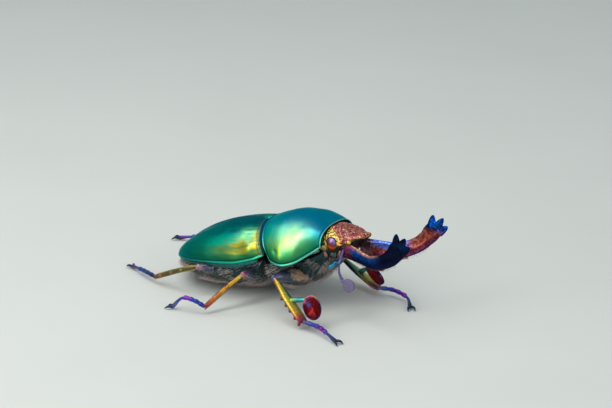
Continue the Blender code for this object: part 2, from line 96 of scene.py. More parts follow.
def placed(points, place=None):
    """World points in metres from points in a frame given in millimetres."""
    array = np.asarray(points, dtype=float)
    if place is not None:
        spin = np.array(place.to_3x3())
        array = array @ spin.T + np.array(place.translation)
    return (array - np.array(CENTRE)) * MM


def smooth(t, keys):
    """Value at t of a smooth curve through given (t, value) pairs, without overshoot."""
    if t <= keys[0][0]:
        return keys[0][1]
    if t >= keys[-1][0]:
        return keys[-1][1]
    slopes = [(b[1] - a[1]) / (b[0] - a[0]) for a, b in zip(keys, keys[1:])]
    tangents = [slopes[0]]
    for before, after in zip(slopes, slopes[1:]):
        tangents.append(0 if before * after <= 0 else 2 * before * after / (before + after))
    tangents.append(slopes[-1])
    i = max(k for k in range(len(keys) - 1) if keys[k][0] <= t)
    width = keys[i + 1][0] - keys[i][0]
    s = (t - keys[i][0]) / width
    start = keys[i][1] * (1 + 2 * s) + tangents[i] * width * s
    end = keys[i + 1][1] * (3 - 2 * s) - tangents[i + 1] * width * (1 - s)
    return start * (1 - s) ** 2 + end * s ** 2


def bump(t, middle, width):
    """Bell of height 1 round the middle."""
    return math.exp(-((t - middle) / width) ** 2)


def held(value):
    return min(1, max(0, value))


def squared(vector, along):
    """The part of a vector that is square to a direction, at length 1."""
    return (vector - along * vector.dot(along)).normalized()


def loft(rings, place=None):
    """Vertices and faces of a closed surface through equal rings of points."""
    rings = np.asarray(rings, dtype=float)
    count, sides = rings.shape[:2]
    verts = [tuple(p) for p in placed(rings.reshape(-1, 3), place)]
    faces = []
    for i in range(count - 1):
        for j in range(sides):
            k = (j + 1) % sides
            faces.append((i * sides + j, i * sides + k, (i + 1) * sides + k, (i + 1) * sides + j))
    for row in (0, count - 1):
        ids = [row * sides + j for j in range(sides)]
        verts.append(tuple(np.mean([verts[i] for i in ids], axis=0)))
        faces += [(ids[j], ids[(j + 1) % sides], len(verts) - 1) for j in range(sides)]
    return verts, faces


def linked(name, data):
    obj = bpy.data.objects.new(name, data)
    bpy.context.scene.collection.objects.link(obj)
    return obj


def mesh_object(name, shapes):
    """One object from lists of vertices and faces, with its faces turned outwards."""
    bm = bmesh.new()
    for verts, faces in shapes:
        made = [bm.verts.new(v) for v in verts]
        for face in faces:
            bm.faces.new([made[i] for i in face])
    bmesh.ops.recalc_face_normals(bm, faces=bm.faces)
    mesh = bpy.data.meshes.new(name)
    bm.to_mesh(mesh)
    bm.free()
    mesh.shade_smooth()
    return linked(name, mesh)


def fused(name, shapes, voxel, rounds, path=None):
    """One smoothed voxel skin over overlapping closed shapes, marked along a path."""
    obj = mesh_object(name, shapes)
    remesh = obj.modifiers.new("skin", "REMESH")
    remesh.mode = "VOXEL"
    remesh.voxel_size = voxel * MM
    obj.modifiers.new("relax", "SMOOTH").iterations = rounds
    graph = bpy.context.evaluated_depsgraph_get()
    mesh = bpy.data.meshes.new_from_object(obj.evaluated_get(graph))
    obj.modifiers.clear()
    obj.data = mesh
    mesh.shade_smooth()
    if path:
        set_along(obj, path)
    return obj


def circle(count):
    """Cosine and sine of evenly spaced angles round a turn."""
    return [(math.cos(math.tau * k / count), math.sin(math.tau * k / count)) for k in range(count)]


def curve_points(controls, steps):
    """Points along a smooth curve through the controls, steps to each span."""
    spans = []
    controls = [Vector(c) for c in controls]
    padded = [controls[0] * 2 - controls[1], *controls, controls[-1] * 2 - controls[-2]]
    for p0, p1, p2, p3 in zip(padded, padded[1:], padded[2:], padded[3:]):
        for k in range(steps):
            t = k / steps
            spans.append(0.5 * (2 * p1 + (p2 - p0) * t + (2 * p0 - 5 * p1 + 4 * p2 - p3) * t * t
                                + (3 * p1 - p0 - 3 * p2 + p3) * t ** 3))
    spans.append(controls[-1])
    return spans


def tube(path, widths, depths, side, sides=20, square=1):
    """Closed tube along a path; widths lie along the side vector and depths across it."""
    rings = []
    for i, point in enumerate(path):
        along = (path[min(i + 1, len(path) - 1)] - path[max(i - 1, 0)]).normalized()
        wide = squared(Vector(side), along)
        deep = along.cross(wide)
        round_way = [[math.copysign(abs(w) ** square, w) for w in pair] for pair in circle(sides)]
        rings.append([tuple(point + wide * widths[i] * c + deep * depths[i] * s) for c, s in round_way])
    return loft(rings)


def keyed(count, keys, size=1):
    """The keys' curve at evenly spaced places, times a size."""
    return [size * smooth(i / (count - 1), keys) for i in range(count)]


def keyed_tube(controls, steps, widths, depths, side, sides=20, square=1):
    path = curve_points(controls, steps)
    return tube(path, keyed(len(path), widths), keyed(len(path), depths), side, sides, square)


def ball(centre, radii, spin=None, rows=14, sides=24):
    """Closed ellipsoid; spin turns it about its centre."""
    rings = []
    for i in range(1, rows):
        high, out = math.cos(math.pi * i / rows), math.sin(math.pi * i / rows)
        ring = [Vector((radii[0] * out * c, radii[1] * out * s, radii[2] * high)) for c, s in circle(sides)]
        rings.append([tuple(Vector(centre) + (spin @ p if spin else p)) for p in ring])
    return loft(rings)


def head_ball(place, radii, rows=14, sides=24):
    """Ellipsoid placed and turned with the head."""
    return ball(HEAD @ Vector(place), radii, HEAD_SPIN, rows, sides)


def head_point(side, x, y, z):
    """World point from one in the head's frame, with y measured outward on the given side."""
    return HEAD @ Vector((x, side * y, z))


def spine(base, tip, radius):
    """Tapered spine from base to tip."""
    widths = keyed(9, ((0, 1), (0.5, 0.66), (1, 0.12)), radius)
    return tube(curve_points([base, base.lerp(tip, 0.5), tip], 4), widths, widths, UP, 10)


def set_float(obj, name, values):
    layer = obj.data.attributes.new(name, "FLOAT", "POINT")
    layer.data.foreach_set("value", np.asarray(values, dtype=np.float32))


def vertex_data(obj, key):
    array = np.empty(len(obj.data.vertices) * 3)
    obj.data.vertices.foreach_get(key, array)
    return array.reshape(-1, 3)


def world_points(obj):
    """The object's vertices in millimetres in the uncentred world frame."""
    return vertex_data(obj, "co") / MM + np.array(CENTRE)


def array(vectors):
    return np.array([tuple(v) for v in vectors])


def path_offsets(obj, path):
    """Index of the path's point nearest to each vertex, and the way to the vertex from it."""
    points, way = world_points(obj), array(path)
    nearest = np.argmin(((points[:, None, :] - way[None, :, :]) ** 2).sum(axis=2), axis=1)
    return nearest, points - way[nearest]


def set_along(obj, path):
    """Store how far along a path each vertex lies, from 0 to 1."""
    points, way = world_points(obj), array(path)
    steps = np.diff(way, axis=0)
    lengths = np.concatenate([[0], np.cumsum(np.linalg.norm(steps, axis=1))])
    best = np.full(len(points), np.inf)
    value = np.zeros(len(points))
    for start, step, length in zip(way, steps, lengths):
        t = np.clip((points - start) @ step / (step @ step), 0, 1)
        gap = np.linalg.norm(points - start - t[:, None] * step, axis=1)
        near = gap < best
        best[near] = gap[near]
        value[near] = (length + t * np.linalg.norm(step))[near]
    set_float(obj, "along", value / lengths[-1])


def dress(obj, look, slot, *nodes):
    obj.data.materials.clear()
    obj.data.materials.append(look)
    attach(obj, "root")
    if nodes:
        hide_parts(*nodes)
    return obj


# Materials


class Tree:
    """A material and its shader nodes."""

    def __init__(self, name):
        self.material = bpy.data.materials.new(name)
        self.material.use_nodes = True
        self.nodes = self.material.node_tree.nodes
        self.links = self.material.node_tree.links
        self.shader = self.nodes["Principled BSDF"]

    def add(self, kind, inputs=None, **settings):
        node = self.nodes.new("ShaderNode" + kind)
        for key, value in settings.items():
            setattr(node, key, value)
        for key, value in (inputs or {}).items():
            if isinstance(value, bpy.types.NodeSocket):
                self.links.new(value, node.inputs[key])
            else:
                node.inputs[key].default_value = value
        return node

    def join(self, socket, key):
        self.links.new(socket, self.shader.inputs[key])

    def where(self):
        return self.add("TexCoord").outputs["Object"]

    def math(self, operation, a, b, clamp=False):
        return self.add("Math", {0: a, 1: b}, operation=operation, use_clamp=clamp).outputs[0]

    def times(self, a, b, clamp=False):
        return self.math("MULTIPLY", a, b, clamp)

    def span(self, value, *ends, **settings):
        """The value mapped from between the first two ends to between the others, 0 and 1 if not given."""
        return self.add("MapRange", {0: value, **dict(enumerate(ends, 1))}, **settings).outputs[0]

    def facing(self, direction):
        """From 0 to 1 as the surface turns towards a fixed direction, the same on both sides of the body."""
        normal = self.add("NewGeometry").outputs["Normal"]
        folded = self.add("VectorMath", {0: normal}, operation="ABSOLUTE").outputs[0]
        parts = self.add("SeparateXYZ", {0: normal})
        sides = self.add("SeparateXYZ", {0: folded})
        both = self.add("CombineXYZ", {"X": parts.outputs[0], "Y": sides.outputs[1], "Z": parts.outputs[2]})
        dot = self.add("VectorMath", {0: both.outputs[0], 1: direction}, operation="DOT_PRODUCT")
        return self.span(dot.outputs["Value"], -1, 1)

    def value(self, name):
        return self.add("Attribute", attribute_name=name).outputs["Fac"]

    def noise(self, scale, detail=3, rough=0.5):
        return self.add("TexNoise", {"Vector": self.where(), "Scale": scale, "Detail": detail,
                                     "Roughness": rough}).outputs["Fac"]

    def drift(self, scale, detail, amount):
        """Noise about zero."""
        return self.times(self.math("SUBTRACT", self.noise(scale, detail), 0.5), amount)

    def drifted(self, value, *drift):
        return self.math("ADD", value, self.drift(*drift), clamp=True)

    def ramp(self, factor, stops):
        node = self.add("ValToRGB", {0: factor})
        node.color_ramp.interpolation = "EASE"
        elements = node.color_ramp.elements
        while len(elements) < len(stops):
            elements.new(0.5)
        for element, (place, colour) in zip(elements, stops):
            element.position = place
            element.color = (*colour, 1)
        return node.outputs[0]

    def mix(self, factor, a, b, blend="MIX"):
        a, b = [c if isinstance(c, bpy.types.NodeSocket) else (*c, 1) for c in (a, b)]
        return self.add("Mix", {0: factor, 6: a, 7: b}, data_type="RGBA", blend_type=blend).outputs[2]

    def speckled(self, colour, noise, *ends):
        """The colour times a grey that a noise drives."""
        grey = self.span(self.noise(*noise), *ends)
        grey = self.add("CombineColor", {0: grey, 1: grey, 2: grey}).outputs[0]
        return self.mix(1, colour, grey, "MULTIPLY")

    def pits(self, scale, radius):
        """Round punctures: 1 on the surface and 0 in each pit."""
        cells = self.add("TexVoronoi", {"Vector": self.where(), "Scale": scale, "Randomness": 0.85},
                         feature="F1").outputs["Distance"]
        return self.span(cells, 0, radius, interpolation_type="SMOOTHSTEP")

    def pitted(self, scale):
        """Relief of coarse pits with fine grain."""
        return (self.pits(scale, 0.3), 0.02), (self.noise(9000, 3), 0.008)

    def surface(self, colour, *, metal, rough, relief=(), coat=0, coat_rough=0.1, level=0.5, tint=None):
        """Finish the material; rough is one number, or the ends and the scale of a noise, and relief is a
        list of heights with their depths in millimetres, one on another."""
        self.join(colour, "Base Color")
        if isinstance(rough, tuple):
            self.join(self.span(self.noise(rough[2], 4), 0.3, 0.7, *rough[:2]), "Roughness")
        else:
            self.shader.inputs["Roughness"].default_value = rough
        for key, value in (("Metallic", metal), ("Coat Weight", coat), ("Coat Roughness", coat_rough),
                           ("Specular IOR Level", level)):
            self.shader.inputs[key].default_value = value
        if tint:
            self.shader.inputs["Specular Tint"].default_value = (*tint, 1)
        normal = None
        for height, depth in relief:
            node = self.add("Bump", {"Height": height, "Distance": depth * MM, "Strength": 1})
            if normal is not None:
                self.links.new(normal, node.inputs["Normal"])
            normal = node.outputs[0]
        if normal is not None:
            self.join(normal, "Normal")
        return self.material


SHELL_METAL = 0.97


def shell_look(name, stops, tones, rough, cool_share):
    """Iridescent shell: colour by which way the surface faces, with painted highlight and painted shade in it,
    painted patches, fine punctures and grain.
    """
    tree = Tree(name)
    # The facing ramp holds the shell's iridescent hues, brightest where the key light's highlight lands
    # (painted highlight) and dark on faces turned down (painted shade).
    facing = tree.math("ADD", tree.facing((0.1, 0, 1)), tree.drift(260, 4, 0.16))
    colour = tree.ramp(tree.drifted(facing, 2600, 2, 0.07), stops)
    speck = tree.span(tree.noise(1500, 4, 0.6), 0.2, 0.5, 0.6, 1)
    cool, seam = tree.value("cool"), tree.value("seam")
    # Blue cast: the shell's own blue by the hind edge, toward the rear and along the suture, with painted shade
    # at the front of the pronotum.
    colour = tree.mix(tree.times(cool, cool_share), colour, tones["cool"])
    # The gold patches are partly the shell's own gold and partly painted reflection.
    # The pale patches are a painted highlight.
    for patch in ("pale", "warm"):
        colour = tree.mix(tree.times(tree.value(patch), speck, clamp=True), colour, tones[patch])
    # Edge beads: the shell's own cyan or green made pale as a painted highlight along them, bluer in the blue
    # cast.
    colour = tree.mix(tree.value("rim"), colour, tree.mix(cool, tones["rim"], tones["cool_rim"]))
    # Painted shade in the grooves, at the joins and under the shell's edge; the metal's shine is taken away
    # there too.
    colour = tree.mix(seam, colour, tones["seam"])
    shine = tree.math("SUBTRACT", 1, seam, clamp=True)
    tree.join(tree.times(shine, SHELL_METAL), "Metallic")
    relief = ((tree.pits(5200, 0.22), 0.006), (tree.noise(16000, 2), 0.0016), (tree.noise(900, 3), 0.02))
    return tree.surface(colour, metal=SHELL_METAL, rough=(*rough, 900), relief=relief, coat_rough=0.12,
                        level=0.1, tint=(0.25, 0.8, 0.78))


def limb_look(name, stops, metal=0.8):
    """Leg or feeler cuticle coloured along its length."""
    tree = Tree(name + "_cuticle")
    colour = tree.ramp(tree.drifted(tree.value("along"), 1500, 3, 0.12), stops)
    colour = tree.speckled(colour, (4200, 4, 0.65), 0.35, 0.62, 0.55, 1)
    relief = ((tree.pits(6000, 0.3), 0.012), (tree.noise(9000, 3), 0.006))
    return tree.surface(colour, metal=metal, rough=(0.25, 0.4, 2500), relief=relief, coat=0.3, coat_rough=0.15)


def hair_look(name, dark, light):
    tree = Tree(name)
    colour = tree.mix(tree.noise(1800, 2), dark, light)
    return tree.surface(colour, metal=0, rough=0.45, relief=((tree.noise(12000, 2), 0.004),))


# Shells


def dome_point(v, half, top, rim, boxy=1):
    angle = abs(v) * math.pi / 2
    return math.copysign(half * math.sin(angle) ** boxy, v), rim + (top - rim) * max(math.cos(angle), 0) ** boxy


def pronotum_edge(v):
    return 0.15 + HIND_ANGLE_SWEEP * abs(v) ** HIND_EDGE_POWER


def pronotum_profile(u):
    half = PRONOTUM_HALF_WIDTH * smooth(u, ((0, 0.84), (0.15, 0.95), (0.36, 1), (0.6, 0.93),
                                            (0.8, 0.78), (1, 0.6)))
    rim = smooth(u, ((0, 1.4), (0.15, 0.4), (0.4, 0.1), (0.6, 0.4), (0.8, 1.2), (1, 2.2)))
    top = smooth(u, ((0, 4.6), (0.2, 5.3), (0.45, 5.8), (0.66, 5.75), (0.85, 5.2), (1, 4.5)))
    return half, rim, top


def edge_bead(distance, width, height, groove):
    """Raised bead along an edge with a groove inside it; distance in millimetres from the edge."""
    raised = height * bump(distance, width * 0.55, width * 0.45)
    return raised - groove * bump(distance, width * 1.75, width * 0.55)


def margin_gap(v, half):
    """About how far a point of a shell is from the side margin, in millimetres."""
    return (1 - v) * math.pi / 2 * half * 0.8


def painted():
    return {"rim": [], "seam": [], "warm": [], "pale": [], "cool": []}


def paint(marks, times=1, **values):
    """Add the painted values of the next vertices; what isn't named is 0."""
    for name, row in marks.items():
        row.extend([values.get(name, 0)] * times)


def shell_object(name, rings, marks, last_seam=0):
    paint(marks)
    paint(marks, seam=last_seam)
    obj = mesh_object(name, [loft(rings, BODY)])
    for label, row in marks.items():
        set_float(obj, label, row)
    return obj


def lifted(y, z, half, rim, top, lift):
    """A point of a shell's cross-section, raised square to it."""
    outward = Vector((0, y / half, max(z - rim, 0.02) / (top - rim))).normalized()
    return y + outward.y * lift, z + outward.z * lift


def make_pronotum():
    rows, columns = 120, 170
    rings, marks = [], painted()
    for i in range(rows + 1):
        u = i / rows
        half, rim, top = pronotum_profile(u)
        boxy = smooth(u, ((0, 1), (0.5, 1), (1, 0.85)))
        ring = []
        for k in range(columns + 1):
            v = -1 + 2 * k / columns
            y, z = dome_point(v, half, top, rim, boxy)
            back = pronotum_edge(v)
            length = PRONOTUM_LENGTH - back
            side_gap = margin_gap(abs(v), half)
            end_gap = min(u * length, (1 - u) * length)
            gap = min(side_gap, end_gap)
            bead = 0.13 if end_gap < side_gap and u > 0.5 else 0.17
            dent = 0.1 * bump(u, 0.3, 0.05) * bump(abs(v), 0.8, 0.05)
            groove = 0.05 * bump(v, 0, 0.02) * (1 - bump(u, 0.5, 0.5))
            y, z = lifted(y, z, half, rim, top, edge_bead(gap, bead, 0.07, 0.06) - dent - groove)
            ring.append((back + length * u, y, z))
            behind = math.exp(-(u * length / 0.55) ** 2) * smooth(abs(v), ((0.6, 1), (0.85, 0)))
            cloud = 0.75 + 0.9 * noise.noise(Vector((u * 5, abs(v) * 7, 3)))
            # Gold: a broad yellow-green zone that is partly painted reflection, and a painted highlight in the
            # side dent.
            broad = 0.55 * bump(abs(v), 0.7, 0.12) * bump(u, 0.46, 0.24)
            spot = 0.9 * bump(u, 0.38, 0.028) * bump(abs(v), 0.79, 0.07)
            # A painted highlight along the edge bead.
            # The groove inside the edge bead is painted shade.
            paint(marks, rim=0.9 * math.exp(-(gap / (bead * 0.9)) ** 2), seam=0.8 * bump(gap, bead * 1.9, 0.09),
                  warm=held(cloud * broad + spot),
                  # A broad painted highlight on the dome.
                  pale=held((0.5 + 0.6 * cloud) * bump(abs(v), 0.57, 0.2) * bump(u, 0.56, 0.23)),
                  # Blue cast by the hind edge, and painted shade at the front, where the highlight's flank is
                  # darkened.
                  cool=min(1, behind + 0.6 * bump(u, 0.92, 0.1) * bump(abs(v), 0.52, 0.28)))
        under = columns // 2
        for k in range(1, under):
            v = 1 - 2 * k / under
            back = pronotum_edge(v)
            ring.append((back + (PRONOTUM_LENGTH - back) * u, v * half, rim + 0.12 + 0.5 * (1 - v * v)))
        # The underside of the edge gets painted shade.
        paint(marks, under - 1, seam=0.9)
        rings.append(ring)
    last = rings[-1]
    middle = sum(z for x, y, z in last) / len(last)
    for back, share in ((0.03, 0.985), (0.35, 0.95), (1.2, 0.9)):
        rings.append([(x - back, y * share, middle + (z - middle) * share) for x, y, z in last])
        paint(marks, len(last), seam=1)
    return shell_object("pronotum_shell", rings, marks, 1)


def elytron_edge(v):
    return -0.3 + HIND_ANGLE_SWEEP * v ** HIND_EDGE_POWER


def elytron_profile(u):
    half = ELYTRON_HALF_WIDTH * smooth(u, ((0, 0.86), (0.1, 0.95), (0.3, 1), (0.5, 0.99), (0.7, 0.88),
                                           (0.85, 0.67), (0.95, 0.4), (1, 0.14)))
    rim = smooth(u, ((0, 0.9), (0.12, 0.2), (0.3, -0.35), (0.6, -0.6), (0.85, -1), (1, -1.3)))
    top = smooth(u, ((0, 4.5), (0.15, 4.35), (0.35, 3.9), (0.55, 3.1), (0.75, 1.8), (0.9, 0.4), (1, -0.8)))
    return half, rim, top


def make_elytron(name, side):
    rows, columns = 170, 100
    rings, marks = [], painted()
    for i in range(rows + 1):
        u = i / rows
        half, rim, top = elytron_profile(u)
        ring = []
        for k in range(columns + 1):
            v = k / columns
            y, z = dome_point(v, half, top, rim)
            front = elytron_edge(v)
            length = ELYTRON_LENGTH + front
            side_gap, suture_gap = margin_gap(v, half), y
            gap = min(side_gap, u * length, (1 - u) * length * 1.2)
            lift = edge_bead(gap, 0.2, 0.07, 0.06)
            lift += edge_bead(suture_gap, 0.16, 0.05, 0.05) * (1 - bump(u, 0, 0.05))
            lift += 0.22 * bump(u, 0.1, 0.06) * bump(v, 0.72, 0.14)
            lift += 0.1 * bump(u, 0.86, 0.08) * bump(v, 0.45, 0.2)
            lift += 0.025 * math.sin(v * 31) * bump(u, 0.55, 0.35) * (1 - v)
            y, z = lifted(y, z, half, rim, top, lift)
            ring.append((front - length * u, side * max(y, 0.05), z))
            streak = 0.9 + 1.3 * noise.noise(Vector((u * 9, v * 22 + u * 6, side + 5)))
            # Gold patches near the front, partly the wing case's own gold and partly painted reflection.
            glow = (0.9 * bump(u, 0.17, 0.12) * bump(v, 0.72, 0.11)
                    + 0.8 * bump(u, 0.03, 0.03) * bump(v, 0.66, 0.25)
                    + 0.15 * bump(u, 0.38, 0.1) * bump(v, 0.76, 0.08))
            # A painted highlight along the margin and the hind edge.
            paint(marks, rim=0.95 * math.exp(-(min(side_gap, (1 - u) * length) / 0.22) ** 2),
                  # Painted shade in the groove by the suture, at the front edge and in the groove inside the
                  # margin.
                  seam=(0.8 * bump(suture_gap, 0.3, 0.12) + 0.9 * math.exp(-(u * length / 0.12) ** 2)
                        + 0.5 * bump(gap, 0.42, 0.1)),
                  warm=held(glow * streak),
                  # A painted highlight near the base.
                  pale=held((0.4 + streak) * 0.7 * bump(u, 0.1, 0.09) * bump(v, 0.5, 0.12)),
                  # Blue cast toward the rear and along the suture.
                  cool=min(1, smooth(u, ((0.25, 0), (0.85, 1))) * 0.8 + 0.7 * bump(v, 0, 0.3)))
        under = np.linspace(1, 0, 24)[1:]
        for v in under:
            front = elytron_edge(v)
            ring.append((front - (ELYTRON_LENGTH + front) * u, side * max(v * half, 0.05), rim + 0.1))
        # The underside of the edge gets painted shade.
        paint(marks, len(under), seam=0.9)
        rings.append(ring)
    return shell_object(name, rings, marks)


def make_scutellum():
    rings = []
    for i in range(25):
        u = i / 24
        half = 0.85 * smooth(u, ((0, 0.55), (0.2, 1), (0.5, 0.9), (0.8, 0.5), (1, 0.08)))
        swell = 0.34 * (1 - u * 0.45)
        rings.append([(0.15 - 1.75 * u, half * c, 4.42 - 0.25 * u + swell * s) for c, s in circle(32)])
    obj = mesh_object("scutellum_plate", [loft(rings, BODY)])
    # A third of the pale rim colour all over: partly painted highlight.
    for label in painted():
        set_float(obj, label, np.full(len(obj.data.vertices), 0.35 if label == "rim" else 0))
    return obj


# Underside

TRUNK_FRONT, TRUNK_BACK = 9.6, -14.1
WAIST, BELLY_FROM = 1.45, -5
STERNITES = (BELLY_FROM, -7.1, -9, -10.7, -12.2, -14.2)


def trunk_section(x):
    """Half width, top and depth of the trunk at a place along the body."""
    if x > WAIST:
        u = (x - 1.6) / 8
        top = smooth(u, ((0, -0.2), (0.3, -0.3), (0.6, 0.2), (1, 1.6)))
        depth = STERNUM_DEPTH * smooth(u, ((0, 0.8), (0.3, 1), (0.6, 0.95), (1, 0.75)))
        return 5.2 - 1.6 * u, top, depth
    u = min(max((elytron_edge(1) - x) / (ELYTRON_LENGTH + elytron_edge(1)), 0), 1)
    half, rim, top = elytron_profile(u)
    if x > BELLY_FROM:
        depth = BELLY_DEPTH * smooth((1.3 - x) / 6.15, ((0, 0.8), (0.3, 1), (1, 0.95)))
        return half - 0.5, rim - 0.2, depth
    depth = BELLY_DEPTH * smooth(u, ((0.4, 0.92), (0.6, 0.85), (0.8, 0.62), (1, 0.25)))
    return max(half - 0.35, 0.6), rim - 0.2, depth


def make_trunk():
    rings = []
    count, sides = 200, 84
    for i in range(count + 1):
        x = TRUNK_FRONT - (TRUNK_FRONT - TRUNK_BACK) * i / count
        half, top, depth = trunk_section(x)
        squeeze = 1 - 0.1 * bump(x, WAIST, 0.35)
        step = 0
        for front, back in zip(STERNITES, STERNITES[1:]):
            if back <= x < front:
                step = 0.13 * ((front - x) / (front - back)) - 0.05
        ring = [(x, half * s, top) for s in (-0.75, -0.4, 0, 0.4, 0.75)]
        for k in range(sides + 1):
            angle = math.pi * k / sides
            bulge = 1
            if BELLY_FROM < x < WAIST:
                bulge += (0.03 * bump(angle, math.pi / 2, 0.5) - 0.05 * bump(angle, 0.75, 0.07)
                          - 0.05 * bump(angle, math.pi - 0.75, 0.07) - 0.03 * bump(angle, math.pi / 2, 0.04))
            reach = (half + step) * squeeze * bulge
            fall = (depth + step) * squeeze * bulge
            ring.append((x, reach * math.cos(angle), top - 0.25 - fall * math.sin(angle) ** 0.8))
        rings.append(ring)
    return mesh_object("underbody", [loft(rings, BODY)])


def make_epipleuron(name, side):
    """Smooth narrow plate under the wing-case margin."""
    path = []
    for k in range(41):
        u = 0.06 + 0.8 * k / 40
        half, rim, top = elytron_profile(u)
        x = elytron_edge(1) - (ELYTRON_LENGTH + elytron_edge(1)) * u
        path.append(BODY @ Vector((x, side * (half - 0.3), rim - 0.3)))
    widths = keyed(41, ((0, 0.5), (0.2, 1), (0.6, 0.7), (1, 0.2)), 0.42)
    depths = keyed(41, ((0, 0.8), (0.5, 1), (1, 0.5)), 0.16)
    obj = mesh_object(name, [tube(path, widths, depths, BODY_SPIN @ UP, 16)])
    set_along(obj, path)
    return obj


# Head


def head_section(u):
    half = smooth(u, ((0, 3.5), (0.15, 3.42), (0.35, 3.28), (0.5, 3.05), (0.62, 2.7), (0.75, 2),
                      (0.88, 1.35), (1, 0.8)))
    top = smooth(u, ((0, 2), (0.12, 1.97), (0.25, 1.94), (0.38, 1.84), (0.52, 1.65), (0.69, 1.35),
                     (0.86, 1.15), (1, 1.05)))
    under = smooth(u, ((0, -2.3), (0.2, -2.5), (0.4, -2.3), (0.55, -1.7), (0.68, -0.9), (0.8, -0.1),
                       (0.9, 0.25), (1, 0.45)))
    return half, top, under


def line_gap(x, y, a, b):
    """Distance in the plane from (x, y) to the segment from a to b."""
    dx, dy = b[0] - a[0], b[1] - a[1]
    t = min(max(((x - a[0]) * dx + (y - a[1]) * dy) / (dx * dx + dy * dy), 0), 1)
    return math.hypot(x - a[0] - dx * t, y - a[1] - dy * t)


PIT_CELL = 0.27


def make_head():
    rows, sides = 180, 300
    rings, marks = [], {"top": [], "gold": [], "pit": []}
    for i in range(rows + 1):
        u = i / rows
        half, top, under = head_section(u)
        middle = top - (top - under) * 0.42
        ring = []
        for across, rise in circle(sides):
            upper = max(rise, 0)
            x = HEAD_LENGTH * u
            y = half * math.copysign(abs(across) ** 0.8, across)
            z = middle + ((top - middle) * rise ** 1.35 if rise > 0 else -(middle - under) * (-rise) ** 0.8)
            wide = abs(y)
            brow_ridge = line_gap(x, wide, (1, 1.1), (3, 2.5))
            front_edge = line_gap(x, wide, (3.3, 2.3), (5.3, 0.7))
            lift = 0.1 * upper * bump(brow_ridge, 0.28, 0.16) - 0.16 * upper * bump(brow_ridge, 0, 0.15)
            lift -= 0.12 * upper * bump(x, 3.9, 0.8) * bump(wide, 0.7, 0.5)
            lift += 0.1 * upper * bump(front_edge, 0, 0.18)
            lift -= 0.3 * bump(x, 4.4, 0.55) * bump(rise, -0.25, 0.25)
            point = Vector((x, y, z))
            pit = held((0.58 - noise.voronoi(point / PIT_CELL)[0][0]) / 0.28) * (0.25 + 0.75 * upper)
            lift += noise.noise(point * 1.6) * 0.08 - pit * 0.09
            outward = Vector((0.1, across * 0.8, rise)).normalized()
            ring.append((x + outward.x * lift, y + outward.y * lift, z + outward.z * lift))
            brow = held((wide - 0.75 - 0.62 * x) / 0.5 + 0.6) * smooth(x, ((0, 1), (2.6, 1), (3.6, 0)))
            tip = (0.75 * smooth(x, ((3.4, 0.5), (4.6, 1))) * bump(rise, -0.02, 0.22)
                   * smooth(x, ((3.2, 0), (3.8, 1))))
            low = -0.1 - 0.22 * bump(x, 0.8, 0.5)
            marks["top"].append(smooth(rise, ((-1, 0), (-0.3, 0.1), (0, 0.45), (0.25, 0.9), (1, 1))))
            marks["gold"].append(min(1, brow * smooth(rise, ((low, 0), (low + 0.25, 1))) + tip))
            marks["pit"].append(pit)
        rings.append(ring)
    obj = mesh_object("head_capsule", [loft(rings, HEAD)])
    for (name, values), tip in zip(marks.items(), (1, 0.5, 0)):
        set_float(obj, name, values + [0, tip])
    return obj


def make_head_look():
    tree = Tree("head_cuticle")
    # Head colour from underside to top: dark below (painted shade), its own crimson, and pink on the top that
    # is partly painted highlight.
    upper = tree.ramp(tree.drifted(tree.value("top"), 1300, 4, 0.6), HEAD_STOPS)
    grain = tree.span(tree.noise(2600, 3), 0.36, 0.56, 0.35, 1)
    colour = tree.mix(tree.times(tree.value("gold"), grain, clamp=True), upper, (0.92, 0.7, 0.16))
    # Near-black pits: painted shade in the punctures.
    colour = tree.mix(tree.value("pit"), colour, (0.012, 0.002, 0.006))
    return tree.surface(colour, metal=0.9, rough=(0.26, 0.44, 2200), relief=tree.pitted(6500),
                        coat=0.15, coat_rough=0.15, tint=(0.8, 0.35, 0.3))


CHEEK_MIDDLE = (1.9, 2.75, -1.2)
CHEEK_LOBES = (((0.85, 2.85, -1.1), (0.36, 0.52, 0.68)), (CHEEK_MIDDLE, (0.5, 0.5, 0.46)),
               ((2.95, 2.5, -1.15), (0.28, 0.48, 0.58)))


def make_cheek(name, side):
    """Three glossy lobes under the eye: the cheek, the mouth's side plate and the feeler's socket."""
    obj = mesh_object(name, [head_ball((x, side * y, z), sizes, 20, 32) for (x, y, z), sizes in CHEEK_LOBES])
    gap = np.linalg.norm(world_points(obj) - np.array(head_point(side, *CHEEK_MIDDLE)), axis=1)
    set_float(obj, "along", np.clip(gap / 1.5, 0, 1))
    return obj


def make_eye(name, side):
    x, y, z = EYE_AT
    sizes = (EYE_HALF_SIZES[0] * 1.06, EYE_HALF_SIZES[1], EYE_HALF_SIZES[2] * 1.06)
    return mesh_object(name, [head_ball((x, side * y, z), sizes, 40, 64)])


def make_eye_look():
    tree = Tree("eye_lens")
    # The eye's own orange-brown in the middle, painted shade on faces turned down and a violet painted
    # highlight on the top.
    colour = tree.ramp(tree.drifted(tree.facing((0.15, 0.35, 0.92)), 1500, 3, 0.25), EYE_STOPS)
    lens = tree.add("TexVoronoi", {"Vector": tree.where(), "Scale": 26000, "Randomness": 0.1},
                    feature="DISTANCE_TO_EDGE").outputs["Distance"]
    return tree.surface(colour, metal=0.55, rough=0.3, relief=((lens, 0.006),), coat=0.12, tint=(0.6, 0.2, 0.1))


